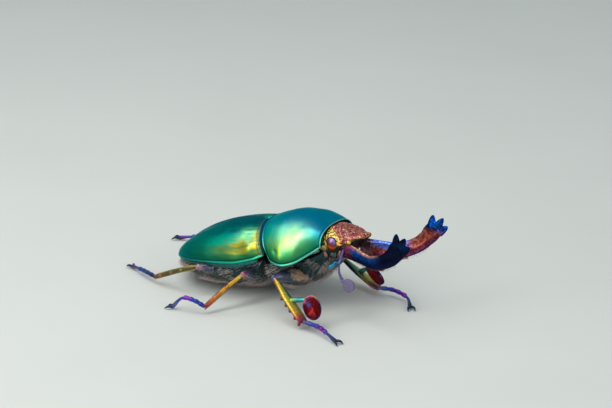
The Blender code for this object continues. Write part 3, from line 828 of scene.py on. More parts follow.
def make_eye_ring(name, side):
    """Raised rim round an eye, with the canthus in front of it and the knob of the jaw's hinge."""
    centre = Vector((EYE_AT[0], side * EYE_AT[1], EYE_AT[2]))
    path = []
    for c, s in circle(36) + [(1, 0)]:
        path.append(HEAD @ (centre + Vector((c * 0.82, side * (0.16 - 0.12 * c), s * 0.98 - 0.05))))
    shapes = [tube(path, [0.09] * 37, [0.09] * 37, HEAD_SPIN @ Vector((0, 1, 0)), 12),
              head_ball(centre + Vector((1.12, side * 0.14, 0.1)), (0.5, 0.3, 0.15)),
              head_ball((4.25, side * 2.36 - 0.06, 0.36 - side * 0.1), (0.34, 0.36, 0.33)),
              head_ball((3.75, side * 2.3, 0.36), (0.46, 0.34, 0.26))]
    obj = fused(name, shapes, voxel=0.045, rounds=3)
    bright = 0
    for spot in ((centre.x + 1.3, centre.y + side * 0.14, centre.z + 0.1), (4.3, side * 2.5, 0.56)):
        gap = np.linalg.norm(world_points(obj) - np.array(HEAD @ Vector(spot)), axis=1)
        bright = np.maximum(bright, np.clip(1.6 - gap / 0.5, 0, 1))
    set_float(obj, "top", 0.25 + 0.6 * bright)
    set_float(obj, "gold", 0.75 * bright)
    set_float(obj, "pit", 0 * bright)
    return obj


# Mandibles

MANDIBLE_PATH = ((4.2, 2.2, -0.9), (5.6, 2.35, -1.22), (6.75, 2.6, -1.5), (8, 2.85, -1.7),
                 (9.4, 3.1, -1.46), (10.85, 3.4, -0.88), (11.85, 3.65, -0.25), (12.75, 3.85, 0.7),
                 (13.55, 4, 1.55))
MANDIBLE_HALF_HEIGHTS = ((0, 1.05), (0.12, 0.98), (0.27, 0.92), (0.5, 1), (0.65, 0.97), (0.78, 1.02),
                         (0.9, 1.2), (1, 1.15))
MANDIBLE_LEAN = ((0, 12), (0.2, 22), (0.5, 22), (0.8, 8), (1, 0))
MANDIBLE_TEETH = (((13, 4, 1.8), (13.3, 4.15, 3.35)), ((13.7, 4.05, 1.6), (14.75, 4.25, 3)),
                  ((14.1, 4.05, 1.1), (15.4, 4.2, 1.95)))
TIP_BLUE_FROM = 11.2


def mandible_points(points, side):
    """Head-frame points of one mandible in the world; the right tip is drawn in, the left root hangs lower."""
    made = []
    for x, y, z in points:
        share = max(x - MANDIBLE_PATH[0][0], 0) / (MANDIBLE_PATH[-1][0] - MANDIBLE_PATH[0][0])
        point = Vector((x, side * y, z))
        if side < 0:
            point += Vector(RIGHT_TIP_SHIFT) * share ** 2
        else:
            point.z -= LEFT_ROOT_DROP * max(1 - share / LEFT_ROOT_SHARE, 0)
        made.append(HEAD @ point)
    return made


def make_mandible(name, side):
    """Deep leaning blade with a hollow inner face, three blunt teeth at its tip and a broad base."""
    path = curve_points(mandible_points([(3.2, 2, -0.7), *MANDIBLE_PATH], side), 12)
    last = len(path) - 1
    across = HEAD_SPIN @ Vector((0, 1, 0))
    rings, wides, deeps = [], [], []
    for i, point in enumerate(path):
        t = max((i / last - 0.1) / 0.9, 0)
        along = (path[min(i + 1, last)] - path[max(i - 1, 0)]).normalized()
        lean = Matrix.Rotation(math.radians(-side * smooth(t, MANDIBLE_LEAN)), 3, along)
        wide = lean @ squared(across, along)
        deep = along.cross(wide)
        width = MANDIBLE_THICK * smooth(t, ((0, 0.95), (0.3, 0.8), (0.7, 0.66), (1, 0.5)))
        height = 0.04 + smooth(t, MANDIBLE_HALF_HEIGHTS)
        hollow = smooth(t, ((0.05, 0.2), (0.2, 1), (0.85, 0.9), (1, 0.3)))
        ring = []
        for c, s in circle(48):
            if c * side < 0:
                c *= 1 - 0.88 * hollow * abs(c) ** 1.5
            ring.append(tuple(point + wide * width * c + deep * height * s))
        rings.append(ring)
        wides.append(wide * -side / width)
        deeps.append(deep / height)
    shapes = [loft(rings)]
    slant = HEAD_SPIN @ Vector((1, 0, -1))
    for tooth in MANDIBLE_TEETH:
        root, tip = mandible_points(tooth, side)
        shapes.append(keyed_tube([root, root.lerp(tip, 0.5), tip], 5,
                                 ((0, 0.64), (0.5, 0.5), (0.82, 0.32), (1, 0.12)),
                                 ((0, 0.38), (0.5, 0.3), (0.85, 0.2), (1, 0.1)), slant, 16))
    ridge = [p + d * 0.95 * (1 / d.length ** 2) for p, d in zip(path[6:-20], deeps[6:-20])]
    shapes.append(tube(ridge, [0.2] * len(ridge), [0.17] * len(ridge), across, 12))
    obj = fused(name, shapes, voxel=0.05, rounds=3, path=path)
    nearest, offset = path_offsets(obj, path)
    inward = (offset * array(wides)[nearest]).sum(axis=1)
    height = (offset * array(deeps)[nearest]).sum(axis=1)
    set_float(obj, "ring", ((np.degrees(np.arctan2(height, inward)) + 90) % 360) / 360)
    set_float(obj, "tip", np.clip((world_points(obj)[:, 2] - TIP_BLUE_FROM) / 0.7, 0, 1))
    return obj


def make_mandible_look(label):
    """Navy outside, an upper rim that is blue on the left jaw and pink on the right with painted highlight on
    it, blue painted highlight patches at the left tip, and a violet to red-brown pitted inner face.
    """
    tree = Tree("mandible_cuticle_" + label)
    ring, along = tree.value("ring"), tree.value("along")
    # Ring ramp: the inner face's own violet to red-brown, then the upper rim, whose bright blue on the left jaw
    # and pale pink on the right are painted highlight.
    body = tree.ramp(tree.drifted(ring, 1600, 3, 0.05), (*INNER_STOPS, *RIM_STOPS[label]))
    base = tree.span(along, 0.1, 0.19, 1, 0)
    body = tree.mix(tree.times(base, 0.8), body, BASE_COLOURS[label])
    outer, far = tree.span(ring, 0.44, 0.54), tree.span(along, 0.52, 0.66)
    body = tree.mix(tree.times(outer, far), body, (0.001, 0.005, 0.025))
    copper = tree.times(tree.math("SUBTRACT", 1, outer), tree.span(ring, 0.09, 0.15))
    rust = tree.mix(tree.noise(2400, 2), (0.2, 0.03, 0.03), (0.6, 0.16, 0.1))
    body = tree.mix(tree.times(copper, far), body, rust)
    patch = tree.span(tree.noise(900, 2), 0.44, 0.58)
    # Tip patches: the bright blue on the left jaw is painted highlight; the right jaw's tip stays dark navy.
    body = tree.mix(tree.value("tip"), body, tree.mix(patch, *TIP_COLOURS[label]))
    colour = tree.speckled(body, (3200, 3, 0.6), 0.4, 0.62, 0.5, 1.4)
    relief = ((tree.pits(4600, 0.33), 0.045), (tree.noise(7000, 3), 0.01))
    return tree.surface(colour, metal=0.9, rough=(0.24, 0.44, 1800), relief=relief, coat=0.05,
                        coat_rough=0.12, tint=(0.35, 0.4, 0.7))


# Feelers and palps

SCAPE = ((3.45, 2.2, -0.1), (3.5, 2.6, -0.5), (3.45, 3.2, -1.3), (3.35, 3.68, -2.2))
SCAPE_RADII = ((0, 0.15), (0.3, 0.17), (0.85, 0.21), (1, 0.24))
PALP = ((2.5, 1.5, -1.9), (1.9, 2.3, -2.5), (1.2, 2.95, -3.15))


def make_antenna(name, side):
    scape = [head_point(side, *p) for p in SCAPE]
    shapes = [keyed_tube(scape, 10, SCAPE_RADII, SCAPE_RADII, (1, 0, 0), 18)]
    rise = CLUB_RISE[side]
    funicle = ((3.35, 3.7, -2.25), (3.5, 3.95, -3.4 + rise * 0.5), (4.25, 4.2, -4.5 + rise))
    stalk = curve_points([head_point(side, *p) for p in funicle], 9)
    for k in range(6):
        radii = keyed(10, ((0, 0.62), (0.75, 1.08), (1, 0.8)), 0.145 + 0.013 * k)
        shapes.append(tube(curve_points(stalk[3 * k:3 * k + 4], 3), radii, radii, (1, 0, 0), 16))
    return fused(name, shapes, voxel=0.04, rounds=2, path=curve_points(scape, 6) + stalk)


def make_club(name, side):
    """Three broad leaves, fanned a little, that make the round flat club."""
    rise = CLUB_RISE[side]
    shapes = []
    for k in (-1, 0, 1):
        spread = Matrix.Rotation(math.radians(side * k * 5), 3, "X")
        spin = HEAD_SPIN @ spread @ Matrix.Rotation(math.radians(-14 * k), 3, "Y")
        centre = head_point(side, 5.08 + 0.05 * k, 4.3 + 0.19 * k, -4.76 + rise)
        shapes.append(ball(centre, (0.92, 0.085, 0.88), spin, 24, 40))
    shapes.append(head_ball((4.4, side * 4.25, -4.65 + rise), (0.28, 0.26, 0.26)))
    return mesh_object(name, shapes)


def make_palp(name, side):
    path = curve_points([head_point(side, *p) for p in PALP], 9)
    shapes = []
    for k, swell in enumerate((0.7, 1, 1.1)):
        radii = keyed(7, ((0, 0.7), (0.6, 1.1), (1, 0.8)), 0.26 * swell)
        shapes.append(tube(path[6 * k:6 * k + 7], radii, radii, (1, 0, 0), 16))
    return fused(name, shapes, voxel=0.04, rounds=2, path=path)


# Legs: hip in the body frame, then knee, ankle and the foot's way in the world frame

LEGS = {
    "fore_right": ((6.2, -2.6, -2.4), (4.6, -8.3, 5.1), (10.75, -11, 1.1),
                   ((13.2, -11.3, 1), (15.1, -12.3, 0.85), (16.7, -12.85, 0.3))),
    "fore_left": ((6.2, 2.6, -2.4), (6, 6.6, 3.4), (12.95, 4.75, 0.9),
                  ((15.3, 4.85, 1), (17.8, 3.95, 0.8), (19.3, 2.2, 0.3))),
    "mid_right": ((0, -2.8, -3), (-0.3, -8, 4.4), (-3, -13.1, 1),
                  ((-4.4, -13.4, 1.7), (-6.2, -13.6, 1.8), (-7.7, -13.8, 0.3))),
    "mid_left": ((0, 2.8, -3), (0.6, 8.2, 3.6), (-1, 13.4, 0.9),
                 ((-2.6, 14.8, 1.2), (-4.2, 16, 0.9), (-5.6, 17, 0.3))),
    "hind_right": ((-4.2, -2.8, -3), (-7.3, -8, 4.1), (-14.8, -7.3, 0.9),
                   ((-16.8, -6.4, 0.9), (-18.8, -5.4, 0.7), (-20.5, -4.4, 0.3))),
    "hind_left": ((-4.2, 2.8, -3), (-8.6, 8.2, 3.2), (-15.3, 8.6, 0.9),
                  ((-17.4, 8.6, 1), (-19.4, 8.4, 0.7), (-21.2, 8.1, 0.3))),
}


def make_femur(name, hip, knee):
    controls = [hip, hip.lerp(knee, 0.5) + UP * 0.15, knee]
    shapes = [keyed_tube(controls, 14, ((0, 0.7), (0.35, 0.95), (0.8, 0.66), (0.95, 0.42), (1, 0.34)),
                         ((0, 0.75), (0.35, 1), (0.8, 0.74), (0.95, 0.48), (1, 0.36)), UP, 36),
              ball(knee, (0.42, 0.42, 0.42)), ball(hip.lerp(knee, 0.22) - UP * 0.1, (0.85, 0.8, 0.85))]
    return fused(name, shapes, voxel=0.07, rounds=4, path=curve_points(controls, 14))


# Tibiae: half width, number of teeth, their length, and the place of the last along the edge
TIBIAE = {"fore": (0.88, 5, 0.86, 0.97), "mid": (0.42, 3, 0.62, 0.86), "hind": (0.42, 3, 0.62, 0.86)}
FIRST_TOOTH = 0.42


def make_tibia(name, pair, knee, ankle):
    broad, teeth, length, last_tooth = TIBIAE[pair]
    fore = pair == "fore"
    along = (ankle - knee).normalized()
    start, end = knee + along * 0.1, ankle - along * 0.05
    out = Vector((0, math.copysign(1, ankle.y), 0))
    controls = [start, start.lerp(end, 0.45) + UP * (-0.06 if fore else 0.12), end]
    path = curve_points(controls, 20)
    wide = ((0, 0.28), (0.12, 0.36), (0.6, broad * 0.9), (0.9, broad * 0.98), (1, broad * 0.8))
    deep = ((0, 0.26), (0.12, 0.32), (0.9, 0.36), (1, 0.3))
    shapes = [keyed_tube(controls, 20, wide, deep, out, 28, 0.9), ball(start, (0.34, 0.34, 0.34))]
    down = squared(-UP, along)
    away = (down + out * 0.7).normalized() if fore else out
    for k in range(teeth):
        spot = path[int((FIRST_TOOTH + (last_tooth - FIRST_TOOTH) * k / (teeth - 1)) * (len(path) - 1))]
        tip = spot + away * length + along * 0.3
        shapes.append(keyed_tube([spot, spot.lerp(tip, 0.5) - along * 0.05, tip], 4,
                                 ((0, 0.32), (0.6, 0.27), (1, 0.13)),
                                 ((0, 0.28), (0.6, 0.22), (1, 0.11)), along, 12))
    crest = along.cross(out).normalized()
    for s in (-1, 1):
        ridge = [p + crest * s * 0.27 for p in path[5:-3]]
        shapes.append(tube(ridge, [0.11] * len(ridge), [0.1] * len(ridge), out, 8))
        shapes.append(spine(end + crest * s * 0.15, end + along * 0.5 + crest * s * 0.28 - away * 0.1, 0.13))
    obj = fused(name, shapes, voxel=0.05, rounds=3, path=path)
    offset = path_offsets(obj, path)[1]
    front = squared(Vector((0.62, -out.y * 0.79, 0.25)), along)
    set_float(obj, "front", vertex_data(obj, "normal") @ np.array(front) * 0.5 + 0.5)
    below = (offset @ np.array(down) - 0.27) / 0.42
    beyond = (np.linalg.norm(offset, axis=1) - 0.56) / 0.2
    set_float(obj, "tooth", np.clip(below if fore else beyond, 0, 1))
    return obj


def make_tibia_look(name, stops, flank, shade_side):
    """Bright along its length, one colour on the flank turned forward with a darker edge of painted shade, and
    another on the one behind that is partly painted shade.
    """
    tree = Tree(name)
    along, tooth = tree.value("along"), tree.value("tooth")
    drift = tree.drift(1500, 3, 0.12)
    colour = tree.ramp(tree.math("ADD", along, drift, clamp=True), stops)
    turned = tree.math("ADD", tree.value("front"), tree.times(drift, 0.6))
    near_knee = tree.span(along, 0.42, 0.7, 1, 0.35)
    # The forward flank: the leg's own teal, orange or olive, then a darker edge of painted shade, fading toward
    # the foot.
    for ends, tone in zip(((0.7, 0.8), (0.84, 0.92)), flank):
        colour = tree.mix(tree.times(tree.span(turned, *ends), near_knee), colour, tone)
    # The flank behind gets orange-brown or olive that is partly painted shade; the teeth are orange at the base
    # and dark at the tips.
    for share, tone in ((tree.span(turned, 0.18, 0.05, 0, 1), shade_side),
                         (tree.span(tooth, 0, 0.22), (0.5, 0.11, 0.03)),
                         (tree.span(tooth, 0.3, 0.55), (0.05, 0.01, 0.06))):
        colour = tree.mix(share, colour, tone)
    colour = tree.speckled(colour, (4200, 4, 0.65), 0.35, 0.62, 0.5, 1)
    return tree.surface(colour, metal=0.55, rough=(0.26, 0.42, 2500), relief=tree.pitted(5200),
                        coat=0.15, coat_rough=0.15)


# Feet: where each of the five joints ends, their swelling, and each claw's way ahead, aside and up
SEGMENTS = (0, 0.19, 0.34, 0.48, 0.62, 1)
JOINT = ((0, 0.66), (0.3, 0.78), (0.85, 1), (1, 0.88))
LAST_JOINT = ((0, 0.6), (0.5, 0.74), (0.9, 1), (1, 0.8))
CLAW = ((-0.15, 0.08, 0), (0.25, 0.28, 0.1), (0.62, 0.44, 0.02), (0.93, 0.48, -0.24))


def make_tarsus(name, ankle, foot):
    path = curve_points([ankle, *foot], 20)
    last = len(path) - 1
    shapes = []
    for k in range(5):
        part = path[max(int(SEGMENTS[k] * last) - 1, 0):int(SEGMENTS[k + 1] * last) + 1]
        radii = keyed(len(part), JOINT, 0.32) if k < 4 else keyed(len(part), LAST_JOINT, 0.28)
        shapes.append(tube(part, radii, [r * 1.05 for r in radii], UP, 20))
        if k < 4:
            tip = part[-1]
            ahead = (tip - part[-2]).normalized()
            aside = ahead.cross(UP).normalized()
            for s in (-1, 1):
                shapes.append(spine(tip - ahead * 0.12 + aside * s * 0.12 - UP * 0.12,
                                    tip + ahead * 0.26 + aside * s * 0.26 - UP * 0.22, 0.09))
    heading = foot[-1] - foot[-2]
    heading.z = 0
    heading.normalize()
    aside = Vector((-heading.y, heading.x, 0))
    for s in (-1, 1):
        hook = [foot[-1] + heading * ahead + aside * s * out + UP * rise for ahead, out, rise in CLAW]
        shapes.append(keyed_tube(hook, 6, ((0, 0.2), (0.4, 0.17), (1, 0.05)),
                                 ((0, 0.2), (0.4, 0.19), (1, 0.05)), UP, 12))
    obj = fused(name, shapes, voxel=0.045, rounds=2)
    for vert in obj.data.vertices:
        vert.co.z = max(vert.co.z, 0)
    set_along(obj, path)
    return obj


SPUR_REACH = 1.98
FAN_SLANT = 0.64
FAN_SHEAR = 0.22


def make_spur(name, knee, ankle):
    """Broad oval spur, hollow on its outer face, hung on a short arm at the inner side of a fore tibia."""
    along = (ankle - knee).normalized()
    end = ankle - along * 0.24
    outward = math.copysign(1, ankle.y)
    inner = squared(Vector((0.6, -outward * 0.45, 0.55)), along)
    face = along.cross(inner).normalized()
    face *= math.copysign(1, face.y * outward)
    centre = end - along * 0.44 + inner * SPUR_REACH
    tall = (along - inner * FAN_SLANT).normalized()
    wide = (inner + along * FAN_SLANT).normalized()
    profile = [(r / 24, 1) for r in range(1, 25)] + [(1, 0)] + [(r / 24, -1) for r in range(24, 0, -1)]
    rings, marks = [], {"rim": [], "crest": [], "glint": []}
    for r, layer in profile:
        ring = []
        for c, s in circle(72):
            reach = r * (1 + 0.05 * bump(s, -1, 0.5) - 0.04 * bump(s, 0.2, 0.3) * (c < 0))
            thick = smooth(r, ((0, 0.14), (0.7, 0.12), (0.86, 0.17), (0.94, 0.24), (1, 0.16)))
            bowl = 0.52 * r ** 1.6 - 0.36 - 0.1 * bump(c, 0.35, 0.3) * r * (1 - r) * 4
            lean = FAN_HALF_SIZES[1] * reach * (c + FAN_SHEAR * s)
            ring.append(tuple(centre + wide * lean + tall * FAN_HALF_SIZES[0] * reach * s
                              + face * (bowl + thick * layer)))
            # crest runs to the upper end of the hollow face, where a pink painted highlight goes.
            paint(marks, rim=bump(r, 0.97, 0.1), crest=0.5 - 0.5 * s if layer > 0 else 0,
                  glint=bump(r, 0.62, 0.22) * bump(c, -0.6, 0.4) * bump(s, -0.6, 0.4))
        rings.append(ring)
    paint(marks, crest=0.5)
    paint(marks)
    fan = mesh_object(name, [loft(rings)])
    for label, row in marks.items():
        set_float(fan, label, row)
    stalk = [end - along * 3.3 + inner * 0.1, end - along * 2.9 + inner * 0.8,
             centre - tall * 1.3 - wide * 1.15, centre - tall * 1.05 - wide * 0.95 - face * 0.02]
    arm = mesh_object(name + "_arm", [keyed_tube(stalk, 10, ((0, 0.42), (0.4, 0.34), (1, 0.2)),
                                                 ((0, 0.3), (0.4, 0.26), (1, 0.14)), along, 20)])
    set_along(arm, curve_points(stalk, 10))
    return fan, arm


def make_spur_look():
    tree = Tree("spur_cuticle")
    rim = tree.value("rim")
    red = tree.mix(tree.noise(1100, 3), (0.03, 0.001, 0.002), (0.3, 0.004, 0.006))
    colour = tree.mix(rim, red, (0.03, 0.006, 0.05))
    # Pink on the upper rim: painted highlight.
    pink = tree.span(tree.value("crest"), 0.62, 0.95)
    colour = tree.mix(tree.times(pink, rim), colour, (0.62, 0.16, 0.2))
    blue = tree.span(tree.noise(2100, 2), 0.42, 0.52)
    colour = tree.mix(tree.times(blue, tree.value("glint")), colour, (0.04, 0.2, 0.75))
    relief = ((tree.noise(3500, 3), 0.02), (tree.pits(7000, 0.3), 0.008))
    return tree.surface(colour, metal=0.75, rough=(0.18, 0.36, 2000), relief=relief, coat=0.15,
                        tint=(0.7, 0.1, 0.12))


# Hair

ROOT_DEPTH = 0.06
PATCH_RADIUS = 0.0015


def hair(name, skin, wanted, look, slot, *, length, radius, lean, count, seed, stand, curl=0.25):
    """Tapered hairs rooted on a skin, kept by the share that wanted(point, normal) gives in the body frame.

    Each hair has a small patch of the bake map at its root's place."""
    rng = random.Random(seed)
    skin.data.calc_loop_triangles()
    corners = world_points(skin)[np.array([tuple(t.vertices) for t in skin.data.loop_triangles])]
    cross = np.cross(corners[:, 1] - corners[:, 0], corners[:, 2] - corners[:, 0])
    areas = np.linalg.norm(cross, axis=1) / 2
    normals = cross / np.maximum(areas[:, None] * 2, 1e-12)
    inverse, spin = BODY.inverted(), BODY_SPIN.inverted()
    total = np.cumsum(areas)
    points, faces, uvs = [], [], []
    made = tries = 0
    while made < count and tries < count * 40:
        tries += 1
        i = int(np.searchsorted(total, rng.random() * total[-1]))
        a, b = rng.random(), rng.random()
        if a + b > 1:
            a, b = 1 - a, 1 - b
        root = Vector(corners[i, 0] + (corners[i, 1] - corners[i, 0]) * a + (corners[i, 2] - corners[i, 0]) * b)
        normal = Vector(normals[i])
        local = inverse @ root
        if rng.random() > wanted(local, spin @ normal):
            continue
        made += 1
        lay = BODY_SPIN @ Vector(lean)
        lay = lay - normal * lay.dot(normal)
        if lay.length < 1e-4:
            lay = normal.orthogonal()
        lay.normalize()
        jitter = Vector((rng.gauss(0, curl), rng.gauss(0, curl), rng.gauss(0, curl)))
        reach = (lay * (1 - stand) + normal * stand + jitter).normalized()
        size = length * rng.uniform(0.6, 1.15)
        tip = root + reach * size + lay * size * 0.25 - UP * size * 0.1
        middle = root + (normal * stand + reach).normalized() * size * 0.5
        tip.z, middle.z = max(tip.z, 0.1), max(middle.z, 0.1)
        side = reach.orthogonal().normalized()
        other = reach.cross(side)
        u, v = (local.x + 16) / 42, math.atan2(local.y, -local.z) / math.tau + 0.5
        base = len(points)
        for place, thick in ((root - normal * ROOT_DEPTH, radius), (middle, radius * 0.7)):
            for c, s in circle(3):
                points.append(tuple(place + (side * c + other * s) * thick))
                uvs.append((u + PATCH_RADIUS * c, v + PATCH_RADIUS * s))
        points.append(tuple(tip))
        uvs.append((u, v))
        for k, j in ((0, 1), (1, 2), (2, 0)):
            faces.append((base + k, base + j, base + 3 + j, base + 3 + k))
            faces.append((base + 3 + k, base + 3 + j, base + 6))
        faces.append((base + 2, base + 1, base))
    mesh = bpy.data.meshes.new(name)
    mesh.from_pydata(placed(points).tolist(), [], faces)
    layer = mesh.uv_layers.new(name="OFBake")
    for loop in mesh.loops:
        layer.data[loop.index].uv = uvs[loop.vertex_index]
    mesh.shade_smooth()
    return dress(linked(name, mesh), look, slot)


# Hair rules: the share of hairs kept at a point with a normal, both in the body frame


def under_side(point, normal):
    """Pale hair in loose clumps, thickest on the flanks, with bare shining plates between."""
    if normal.z > 0.25:
        return 0
    share = smooth(noise.noise(point * 0.55) + 0.5 * noise.noise(point * 1.7), ((0, 0.02), (0.14, 1)))
    if point.x >= WAIST:
        return share * 0.9
    if point.x > BELLY_FROM:
        return share * (1 if abs(point.y) > 2 else 0.4)
    return share * (0.7 if abs(point.y) > 2.5 else 0.25)


def jaw_inner(side):
    turn = HEAD_SPIN.inverted() @ BODY_SPIN

    def rule(point, normal):
        ahead = (HEAD.inverted() @ (BODY @ point)).x
        facing = turn @ normal
        return 1 if facing.y * -side > 0 and facing.z < -0.15 and 4.4 < ahead < 9.6 else 0
    return rule


def jaw_fringe(point, normal):
    return 1 if normal.z < -0.8 and point.x > 14 else 0


def cheek(point, normal):
    return 0.8 if normal.z < 0.1 and point.x < 13 else 0


def thigh(point, normal):
    return 0.6 if normal.z < 0.2 else 0.1


def fore_thigh(point, normal):
    """A patch on the flank that is turned out and forward, short of the knee."""
    seen = normal.x * 0.4 + abs(normal.y) * 0.8 * math.copysign(1, normal.y * point.y) + normal.z * 0.3
    return smooth(seen, ((0.4, 0), (0.58, 1))) * smooth(abs(point.y), ((5.2, 1), (6.1, 0)))


# Stage, light and camera

CAMERA_YAW = 31
CAMERA_RISE = 20
CAMERA_DISTANCE = 360
PIXELS_PER_MM = 7.5
ANCHOR = Vector((-0.507, -0.35, 10.45))
ANCHOR_PIXEL = (272, 214)
PICTURE = (612, 408)


def make_camera():
    yaw, rise = math.radians(CAMERA_YAW), math.radians(CAMERA_RISE)
    toward = Vector((math.sin(yaw) * math.cos(rise), -math.cos(yaw) * math.cos(rise), math.sin(rise)))
    right = Vector((math.cos(yaw), math.sin(yaw), 0))
    up = toward.cross(right)
    aim = (ANCHOR + right * (PICTURE[0] / 2 - ANCHOR_PIXEL[0]) / PIXELS_PER_MM
           - up * (PICTURE[1] / 2 - ANCHOR_PIXEL[1]) / PIXELS_PER_MM)
    data = bpy.data.cameras.new("camera")
    data.sensor_width = 36
    data.lens = data.sensor_width * CAMERA_DISTANCE * PIXELS_PER_MM / PICTURE[0]
    data.clip_start, data.clip_end = 0.01, 10
    camera = linked("camera", data)
    camera.matrix_world = (Matrix.Translation((aim + toward * CAMERA_DISTANCE - CENTRE) * MM)
                           @ Matrix((right, up, toward)).transposed().to_4x4())
    bpy.context.scene.camera = camera


# Lights: place, aim and size in millimetres, power in watts and colour
LIGHTS = {"key": ((-38, -105, 190), (3, -3, 9), (85, 320), 0.295, (1, 1, 0.93)),
          "over": ((-120, 0, 160), (-3, -3, 8), (130, 90), 0.055, (0.96, 1, 1)),
          "front_left": ((-62, -165, 62), (-3, -3, 5), (60, 40), 0.02, (1, 0.97, 0.9)),
          "fill": ((190, -70, 80), (8, 0, 7), (90, 90), 0.07, (0.92, 0.96, 1))}
WORLD_COLOUR = (0.7, 0.8, 0.82, 1)
WORLD_STRENGTH = 0.52
FLOOR_HALF_SIZE = 1.5
FLOOR_DROP = 0.00002


def make_light(name, place, aim, size, power, colour):
    data = bpy.data.lights.new(name, "AREA")
    data.shape = "RECTANGLE"
    data.size, data.size_y = size[0] * MM, size[1] * MM
    data.energy = power
    data.color = colour
    light = linked(name, data)
    light.location = Vector(place) * MM
    light.rotation_euler = (Vector(aim) * MM - light.location).to_track_quat("-Z", "Y").to_euler()


def make_stage():
    bm = bmesh.new()
    bmesh.ops.create_grid(bm, x_segments=2, y_segments=2, size=FLOOR_HALF_SIZE)
    mesh = bpy.data.meshes.new("floor")
    bm.to_mesh(mesh)
    bm.free()
    floor = linked("floor", mesh)
    floor.location.z = -FLOOR_DROP
    tree = Tree("floor_paper")
    colour = tree.mix(tree.noise(40, 4), (0.7, 0.7, 0.68), (0.76, 0.76, 0.74))
    mesh.materials.append(tree.surface(colour, metal=0, rough=0.75))
    world = bpy.data.worlds.new("studio")
    bpy.context.scene.world = world
    world.use_nodes = True
    background = world.node_tree.nodes["Background"]
    background.inputs[0].default_value = WORLD_COLOUR
    background.inputs[1].default_value = WORLD_STRENGTH
    for name, settings in LIGHTS.items():
        make_light(name, *settings)


# Colours: stops along a ramp as (place, colour), and paints

# Pronotum ramp by facing: iridescent hues, near black on faces turned down (painted shade) and brightest about
# 0.8 to 0.86, where the key light's highlight falls (painted highlight).
PRONOTUM_STOPS = ((0, (0.002, 0.03, 0.015)), (0.5, (0.002, 0.08, 0.025)), (0.62, (0.004, 0.19, 0.07)),
                  (0.72, (0.02, 0.4, 0.14)), (0.8, (0.01, 0.5, 0.28)), (0.86, (0.002, 0.5, 0.4)),
                  (0.92, (0.001, 0.4, 0.46)), (0.965, (0.001, 0.3, 0.46)), (1, (0.001, 0.28, 0.48)))
# Pronotum paints: gold that is partly painted reflection, rim colour with painted highlight, painted shade in
# the seams, a blue cast that is partly painted shade, a painted highlight, and the rim in the blue cast.
PRONOTUM_PAINT = {"warm": (0.55, 0.72, 0.05), "rim": (0.32, 0.92, 0.78), "seam": (0.004, 0.03, 0.1),
                  "cool": (0.001, 0.16, 0.42), "pale": (0.48, 0.88, 0.34), "cool_rim": (0.01, 0.45, 0.85)}
# Wing-case ramp by facing: iridescent hues, near black on faces turned down (painted shade) and brightest about
# 0.78 to 0.87, where the highlight falls (painted highlight).
WING_STOPS = ((0, (0.002, 0.035, 0.02)), (0.5, (0.004, 0.09, 0.035)), (0.66, (0.01, 0.19, 0.06)),
              (0.78, (0.015, 0.33, 0.13)), (0.87, (0.002, 0.36, 0.19)), (0.93, (0.001, 0.25, 0.19)),
              (0.98, (0.001, 0.12, 0.14)), (1, (0.001, 0.08, 0.12)))
# Wing-case paints: gold that is partly painted reflection, rim colour with painted highlight, painted shade in
# the seams, a blue cast, a painted highlight, and the rim in the blue cast.
WING_PAINT = {"warm": (0.7, 0.52, 0.02), "rim": (0.04, 0.66, 0.36), "seam": (0.003, 0.05, 0.13),
              "cool": (0.001, 0.13, 0.19), "pale": (0.3, 0.8, 0.36), "cool_rim": (0.02, 0.45, 0.4)}
EPIPLEURON = ((0, (0.01, 0.2, 0.2)), (0.5, (0.01, 0.12, 0.12)), (1, (0.02, 0.06, 0.05)))
# Head ramp from underside to top: dark below (painted shade), crimson, then pink that is partly painted
# highlight.
HEAD_STOPS = ((0, (0.006, 0.03, 0.025)), (0.3, (0.04, 0.02, 0.02)), (0.6, (0.13, 0.012, 0.03)),
              (0.82, (0.32, 0.03, 0.05)), (0.92, (0.66, 0.17, 0.15)), (1, (0.85, 0.34, 0.28)))
# Eye ramp by facing: dark low (painted shade), orange-brown (own colour), violet on the top (painted
# highlight).
EYE_STOPS = ((0, (0.02, 0.003, 0.003)), (0.34, (0.06, 0.007, 0.004)), (0.48, (0.22, 0.03, 0.005)),
             (0.62, (0.55, 0.11, 0.01)), (0.73, (0.2, 0.04, 0.02)), (0.8, (0.17, 0.07, 0.17)),
             (0.95, (0.4, 0.25, 0.55)))
CHEEK = ((0, (0.004, 0.07, 0.05)), (0.3, (0.02, 0.1, 0.09)), (0.48, (0.3, 0.12, 0.12)),
         (0.8, (0.5, 0.24, 0.22)), (1, (0.2, 0.08, 0.1)))
INNER_STOPS = ((0, (0.04, 0.012, 0.09)), (0.04, (0.08, 0.014, 0.08)), (0.12, (0.2, 0.03, 0.02)),
               (0.26, (0.3, 0.055, 0.04)))
# Upper rim colours per jaw, with painted highlight: bright blue on the left jaw, pale pink on the right.
RIM_STOPS = {"left": ((0.3, (0.22, 0.1, 0.15)), (0.34, (0.16, 0.13, 0.36)), (0.41, (0.14, 0.22, 0.8)),
                      (0.5, (0.07, 0.2, 0.95)), (0.57, (0.02, 0.08, 0.5)), (0.66, (0.05, 0.02, 0.16)),
                      (0.85, (0.03, 0.01, 0.1)), (1, (0.02, 0.01, 0.06))),
             "right": ((0.32, (0.2, 0.1, 0.17)), (0.38, (0.17, 0.14, 0.36)), (0.42, (0.5, 0.2, 0.15)),
                       (0.51, (0.85, 0.42, 0.3)), (0.555, (0.42, 0.18, 0.16)), (0.585, (0.004, 0.07, 0.34)),
                       (0.66, (0.002, 0.05, 0.24)), (0.76, (0.001, 0.014, 0.07)), (1, (0.001, 0.005, 0.025)))}
BASE_COLOURS = {"left": (0.22, 0.11, 0.14), "right": (0.22, 0.03, 0.05)}
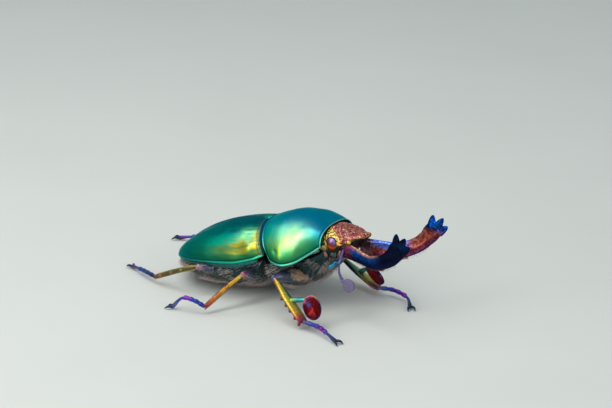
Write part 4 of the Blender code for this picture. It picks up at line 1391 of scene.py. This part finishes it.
# Tip colours per jaw: dark navy with painted highlight blue on the left, dark navy on the right.
TIP_COLOURS = {"left": ((0.001, 0.02, 0.12), (0.004, 0.13, 0.66)),
               "right": ((0.001, 0.006, 0.03), (0.001, 0.018, 0.08))}
FEELER = ((0, (0.2, 0.08, 0.14)), (0.25, (0.14, 0.1, 0.3)), (0.7, (0.1, 0.09, 0.3)),
          (1, (0.16, 0.12, 0.32)))
PALP_STOPS = ((0, (0.03, 0.05, 0.07)), (0.45, (0.01, 0.25, 0.5)), (1, (0.02, 0.45, 0.75)))
FEMUR = ((0, (0.004, 0.05, 0.045)), (0.5, (0.012, 0.07, 0.07)), (0.75, (0.07, 0.08, 0.14)),
         (0.9, (0.12, 0.12, 0.2)))
# Knee colours: own violet and pink, lightened on the mid and hind knees by painted highlight.
KNEES = {"fore": (0.13, 0.11, 0.3), "mid": (0.5, 0.16, 0.22), "hind": (0.5, 0.28, 0.34)}
TIBIA = {"fore": ((0, (0.4, 0.25, 0.3)), (0.08, (0.7, 0.42, 0.03)), (0.45, (0.8, 0.62, 0.06)),
                  (0.8, (0.75, 0.45, 0.04)), (0.92, (0.6, 0.1, 0.05)), (1, (0.3, 0.03, 0.1))),
         "mid": ((0, (0.55, 0.4, 0.3)), (0.1, (0.7, 0.45, 0.03)), (0.5, (0.68, 0.3, 0.02)),
                 (0.85, (0.6, 0.12, 0.03)), (1, (0.45, 0.04, 0.04))),
         "hind": ((0, (0.6, 0.48, 0.35)), (0.1, (0.68, 0.5, 0.05)), (0.35, (0.3, 0.26, 0.04)),
                  (0.6, (0.2, 0.17, 0.03)), (0.85, (0.45, 0.18, 0.04)), (1, (0.6, 0.16, 0.04)))}
TARSUS = {"fore": ((0, (0.2, 0.16, 0.36)), (0.2, (0.04, 0.08, 0.45)), (0.42, (0.1, 0.02, 0.5)),
                   (0.58, (0.32, 0.01, 0.55)), (0.75, (0.04, 0.07, 0.4)), (1, (0.01, 0.03, 0.1))),
          "mid": ((0, (0.04, 0.06, 0.4)), (0.3, (0.02, 0.08, 0.5)), (0.5, (0.24, 0.01, 0.5)),
                  (0.7, (0.03, 0.1, 0.5)), (0.9, (0.14, 0.14, 0.4)), (1, (0.02, 0.04, 0.14))),
          "hind": ((0, (0.01, 0.02, 0.12)), (0.3, (0.01, 0.05, 0.25)), (0.6, (0.02, 0.1, 0.45)),
                   (0.8, (0.16, 0.02, 0.32)), (1, (0.01, 0.03, 0.1)))}
# Forward flank colours per pair: the leg's own colour, then a darker edge that is painted shade.
FLANKS = {"fore": ((0.01, 0.26, 0.2), (0.01, 0.035, 0.05)), "mid": ((0.4, 0.2, 0.02), (0.12, 0.05, 0.03)),
          "hind": ((0.34, 0.26, 0.04), (0.1, 0.07, 0.03))}
# Colour of the flank behind per pair, partly painted shade.
REAR_FLANKS = {"fore": (0.34, 0.09, 0.02), "mid": (0.34, 0.09, 0.02), "hind": (0.12, 0.1, 0.02)}
SPUR_STALK = ((0, (0.3, 0.4, 0.05)), (0.5, (0.01, 0.3, 0.3)), (1, (0.1, 0.4, 0.42)))


# Put it together


def make_trunk_look():
    tree = Tree("underside_cuticle")
    colour = tree.mix(tree.noise(700, 4), (0.002, 0.06, 0.055), (0.02, 0.012, 0.02))
    return tree.surface(colour, metal=0.7, rough=(0.2, 0.4, 1500), relief=tree.pitted(4200),
                        coat=0.1, coat_rough=0.2)


def make_club_look():
    tree = Tree("club_velvet")
    colour = tree.mix(tree.noise(2500, 3), (0.12, 0.1, 0.2), (0.22, 0.18, 0.33))
    return tree.surface(colour, metal=0, rough=0.7, relief=((tree.noise(14000, 3), 0.012),))


def build_body():
    """Shells and underside; returns the trunk."""
    look = shell_look("pronotum_cuticle", PRONOTUM_STOPS, PRONOTUM_PAINT, (0.31, 0.41), 0.6)
    dress(make_pronotum(), look, "pronotum", "pronotum")
    look = shell_look("wing_case_cuticle", WING_STOPS, WING_PAINT, (0.28, 0.38), 0.8)
    for label, side in SIDES:
        dress(make_elytron("wing_case_" + label, side), look, "elytron", "elytron_" + label)
    dress(make_scutellum(), look, "scutellum", "scutellum")
    trunk = dress(make_trunk(), make_trunk_look(), "pterothorax", "prosternum", "pterothorax", "abdomen")
    look = limb_look("epipleuron", EPIPLEURON)
    for label, side in SIDES:
        dress(make_epipleuron("epipleuron_" + label, side), look, "elytron")
    return trunk


def build_head():
    """Head, eyes, jaws, feelers and palps; returns the head and the jaws."""
    look, eye, club = make_head_look(), make_eye_look(), make_club_look()
    lobes, feeler = limb_look("cheek", CHEEK, 0.5), limb_look("feeler", FEELER, 0.5)
    palp = limb_look("palp", PALP_STOPS)
    head = dress(make_head(), look, "head", "head")
    jaws = {}
    for label, side in SIDES:
        dress(make_eye("eye_lens_" + label, side), eye, "eye", "eye_" + label)
        dress(make_eye_ring("eye_ring_" + label, side), look, "head")
        dress(make_cheek("cheek_lobes_" + label, side), lobes, "head")
        jaws[label] = dress(make_mandible("jaw_" + label, side), make_mandible_look(label), "mandible",
                            "mandible_" + label)
        dress(make_antenna("feeler_" + label, side), feeler, "scape", "scape_" + label, "funicle_" + label)
        dress(make_club("feeler_club_" + label, side), club, "antenna_club", "antenna_club_" + label)
        dress(make_palp("mouth_palp_" + label, side), palp, "palp", "palp_" + label)
    return head, jaws


def build_legs():
    """All six legs and the two spurs; returns the femora."""
    thighs = {pair: limb_look(pair + "_femur", (*FEMUR, (1, KNEES[pair])), 0.65) for pair in TIBIAE}
    shins = {pair: make_tibia_look(pair + "_tibia_cuticle", TIBIA[pair], FLANKS[pair], REAR_FLANKS[pair])
             for pair in TIBIAE}
    feet = {pair: limb_look(pair + "_tarsus", TARSUS[pair]) for pair in TIBIAE}
    fan_look, stalk_look = make_spur_look(), limb_look("spur_stalk", SPUR_STALK)
    femora = {}
    for leg, (hip, knee, ankle, foot) in LEGS.items():
        pair, label = leg.split("_")
        hip, knee, ankle = BODY @ Vector(hip), Vector(knee), Vector(ankle)
        foot = [Vector(p) for p in foot]
        femora[leg] = dress(make_femur(pair + "_thigh_" + label, hip, knee), thighs[pair], "femur",
                            pair + "_femur_" + label)
        shin = make_tibia(pair + "_shin_" + label, pair, knee, ankle)
        dress(shin, shins[pair], "tibia", pair + "_tibia_" + label)
        tarsus = make_tarsus(pair + "_foot_" + label, ankle, foot)
        dress(tarsus, feet[pair], "tarsus", pair + "_tarsus_" + label)
        if pair == "fore":
            fan, stalk = make_spur("fore_fan_" + label, knee, ankle)
            dress(fan, fan_look, "spur", "fore_spur_" + label)
            dress(stalk, stalk_look, "tibia")
    return femora


def grow_hair(trunk, head, jaws, femora):
    grey = hair_look("underside_hair", (0.14, 0.1, 0.1), (1, 0.82, 0.78))
    hair("underside_hairs", trunk, under_side, grey, "pterothorax", length=0.8, radius=0.018,
         lean=(-0.9, 0, -0.25), count=5200, seed=11, stand=0.3, curl=0.11)
    hair("cheek_hairs", head, cheek, grey, "head", length=0.6, radius=0.016, lean=(-0.3, 0, -0.8),
         count=260, seed=12, stand=0.4)
    rust = hair_look("jaw_hair", (0.22, 0.035, 0.02), (0.6, 0.2, 0.13))
    dark = hair_look("dark_bristle", (0.02, 0.015, 0.02), (0.12, 0.07, 0.06))
    for label, side in SIDES:
        hair("jaw_hairs_" + label, jaws[label], jaw_inner(side), rust, "mandible", length=0.36, radius=0.015,
             lean=(0.9, 0, -0.3), count=1300, seed=13 + side, stand=0.3, curl=0.15)
        hair("jaw_fringe_" + label, jaws[label], jaw_fringe, dark, "mandible", length=0.45, radius=0.014,
             lean=(0.3, 0, -0.9), count=90, seed=16 + side, stand=0.4)
    orange = hair_look("femur_hair", (0.95, 0.34, 0.14), (1, 0.84, 0.64))
    for leg, femur in femora.items():
        fore = leg.startswith("fore")
        hair(leg + "_hairs", femur, fore_thigh if fore else thigh, orange if fore else grey, "femur",
             length=0.55 if fore else 0.45, radius=0.016 if fore else 0.014, lean=(0.9, 0, -0.5),
             count=300, seed=30 + len(leg), stand=0.25)


bpy.context.scene.view_settings.view_transform = "Standard"
make_camera()
make_stage()
grow_hair(build_body(), *build_head(), build_legs())
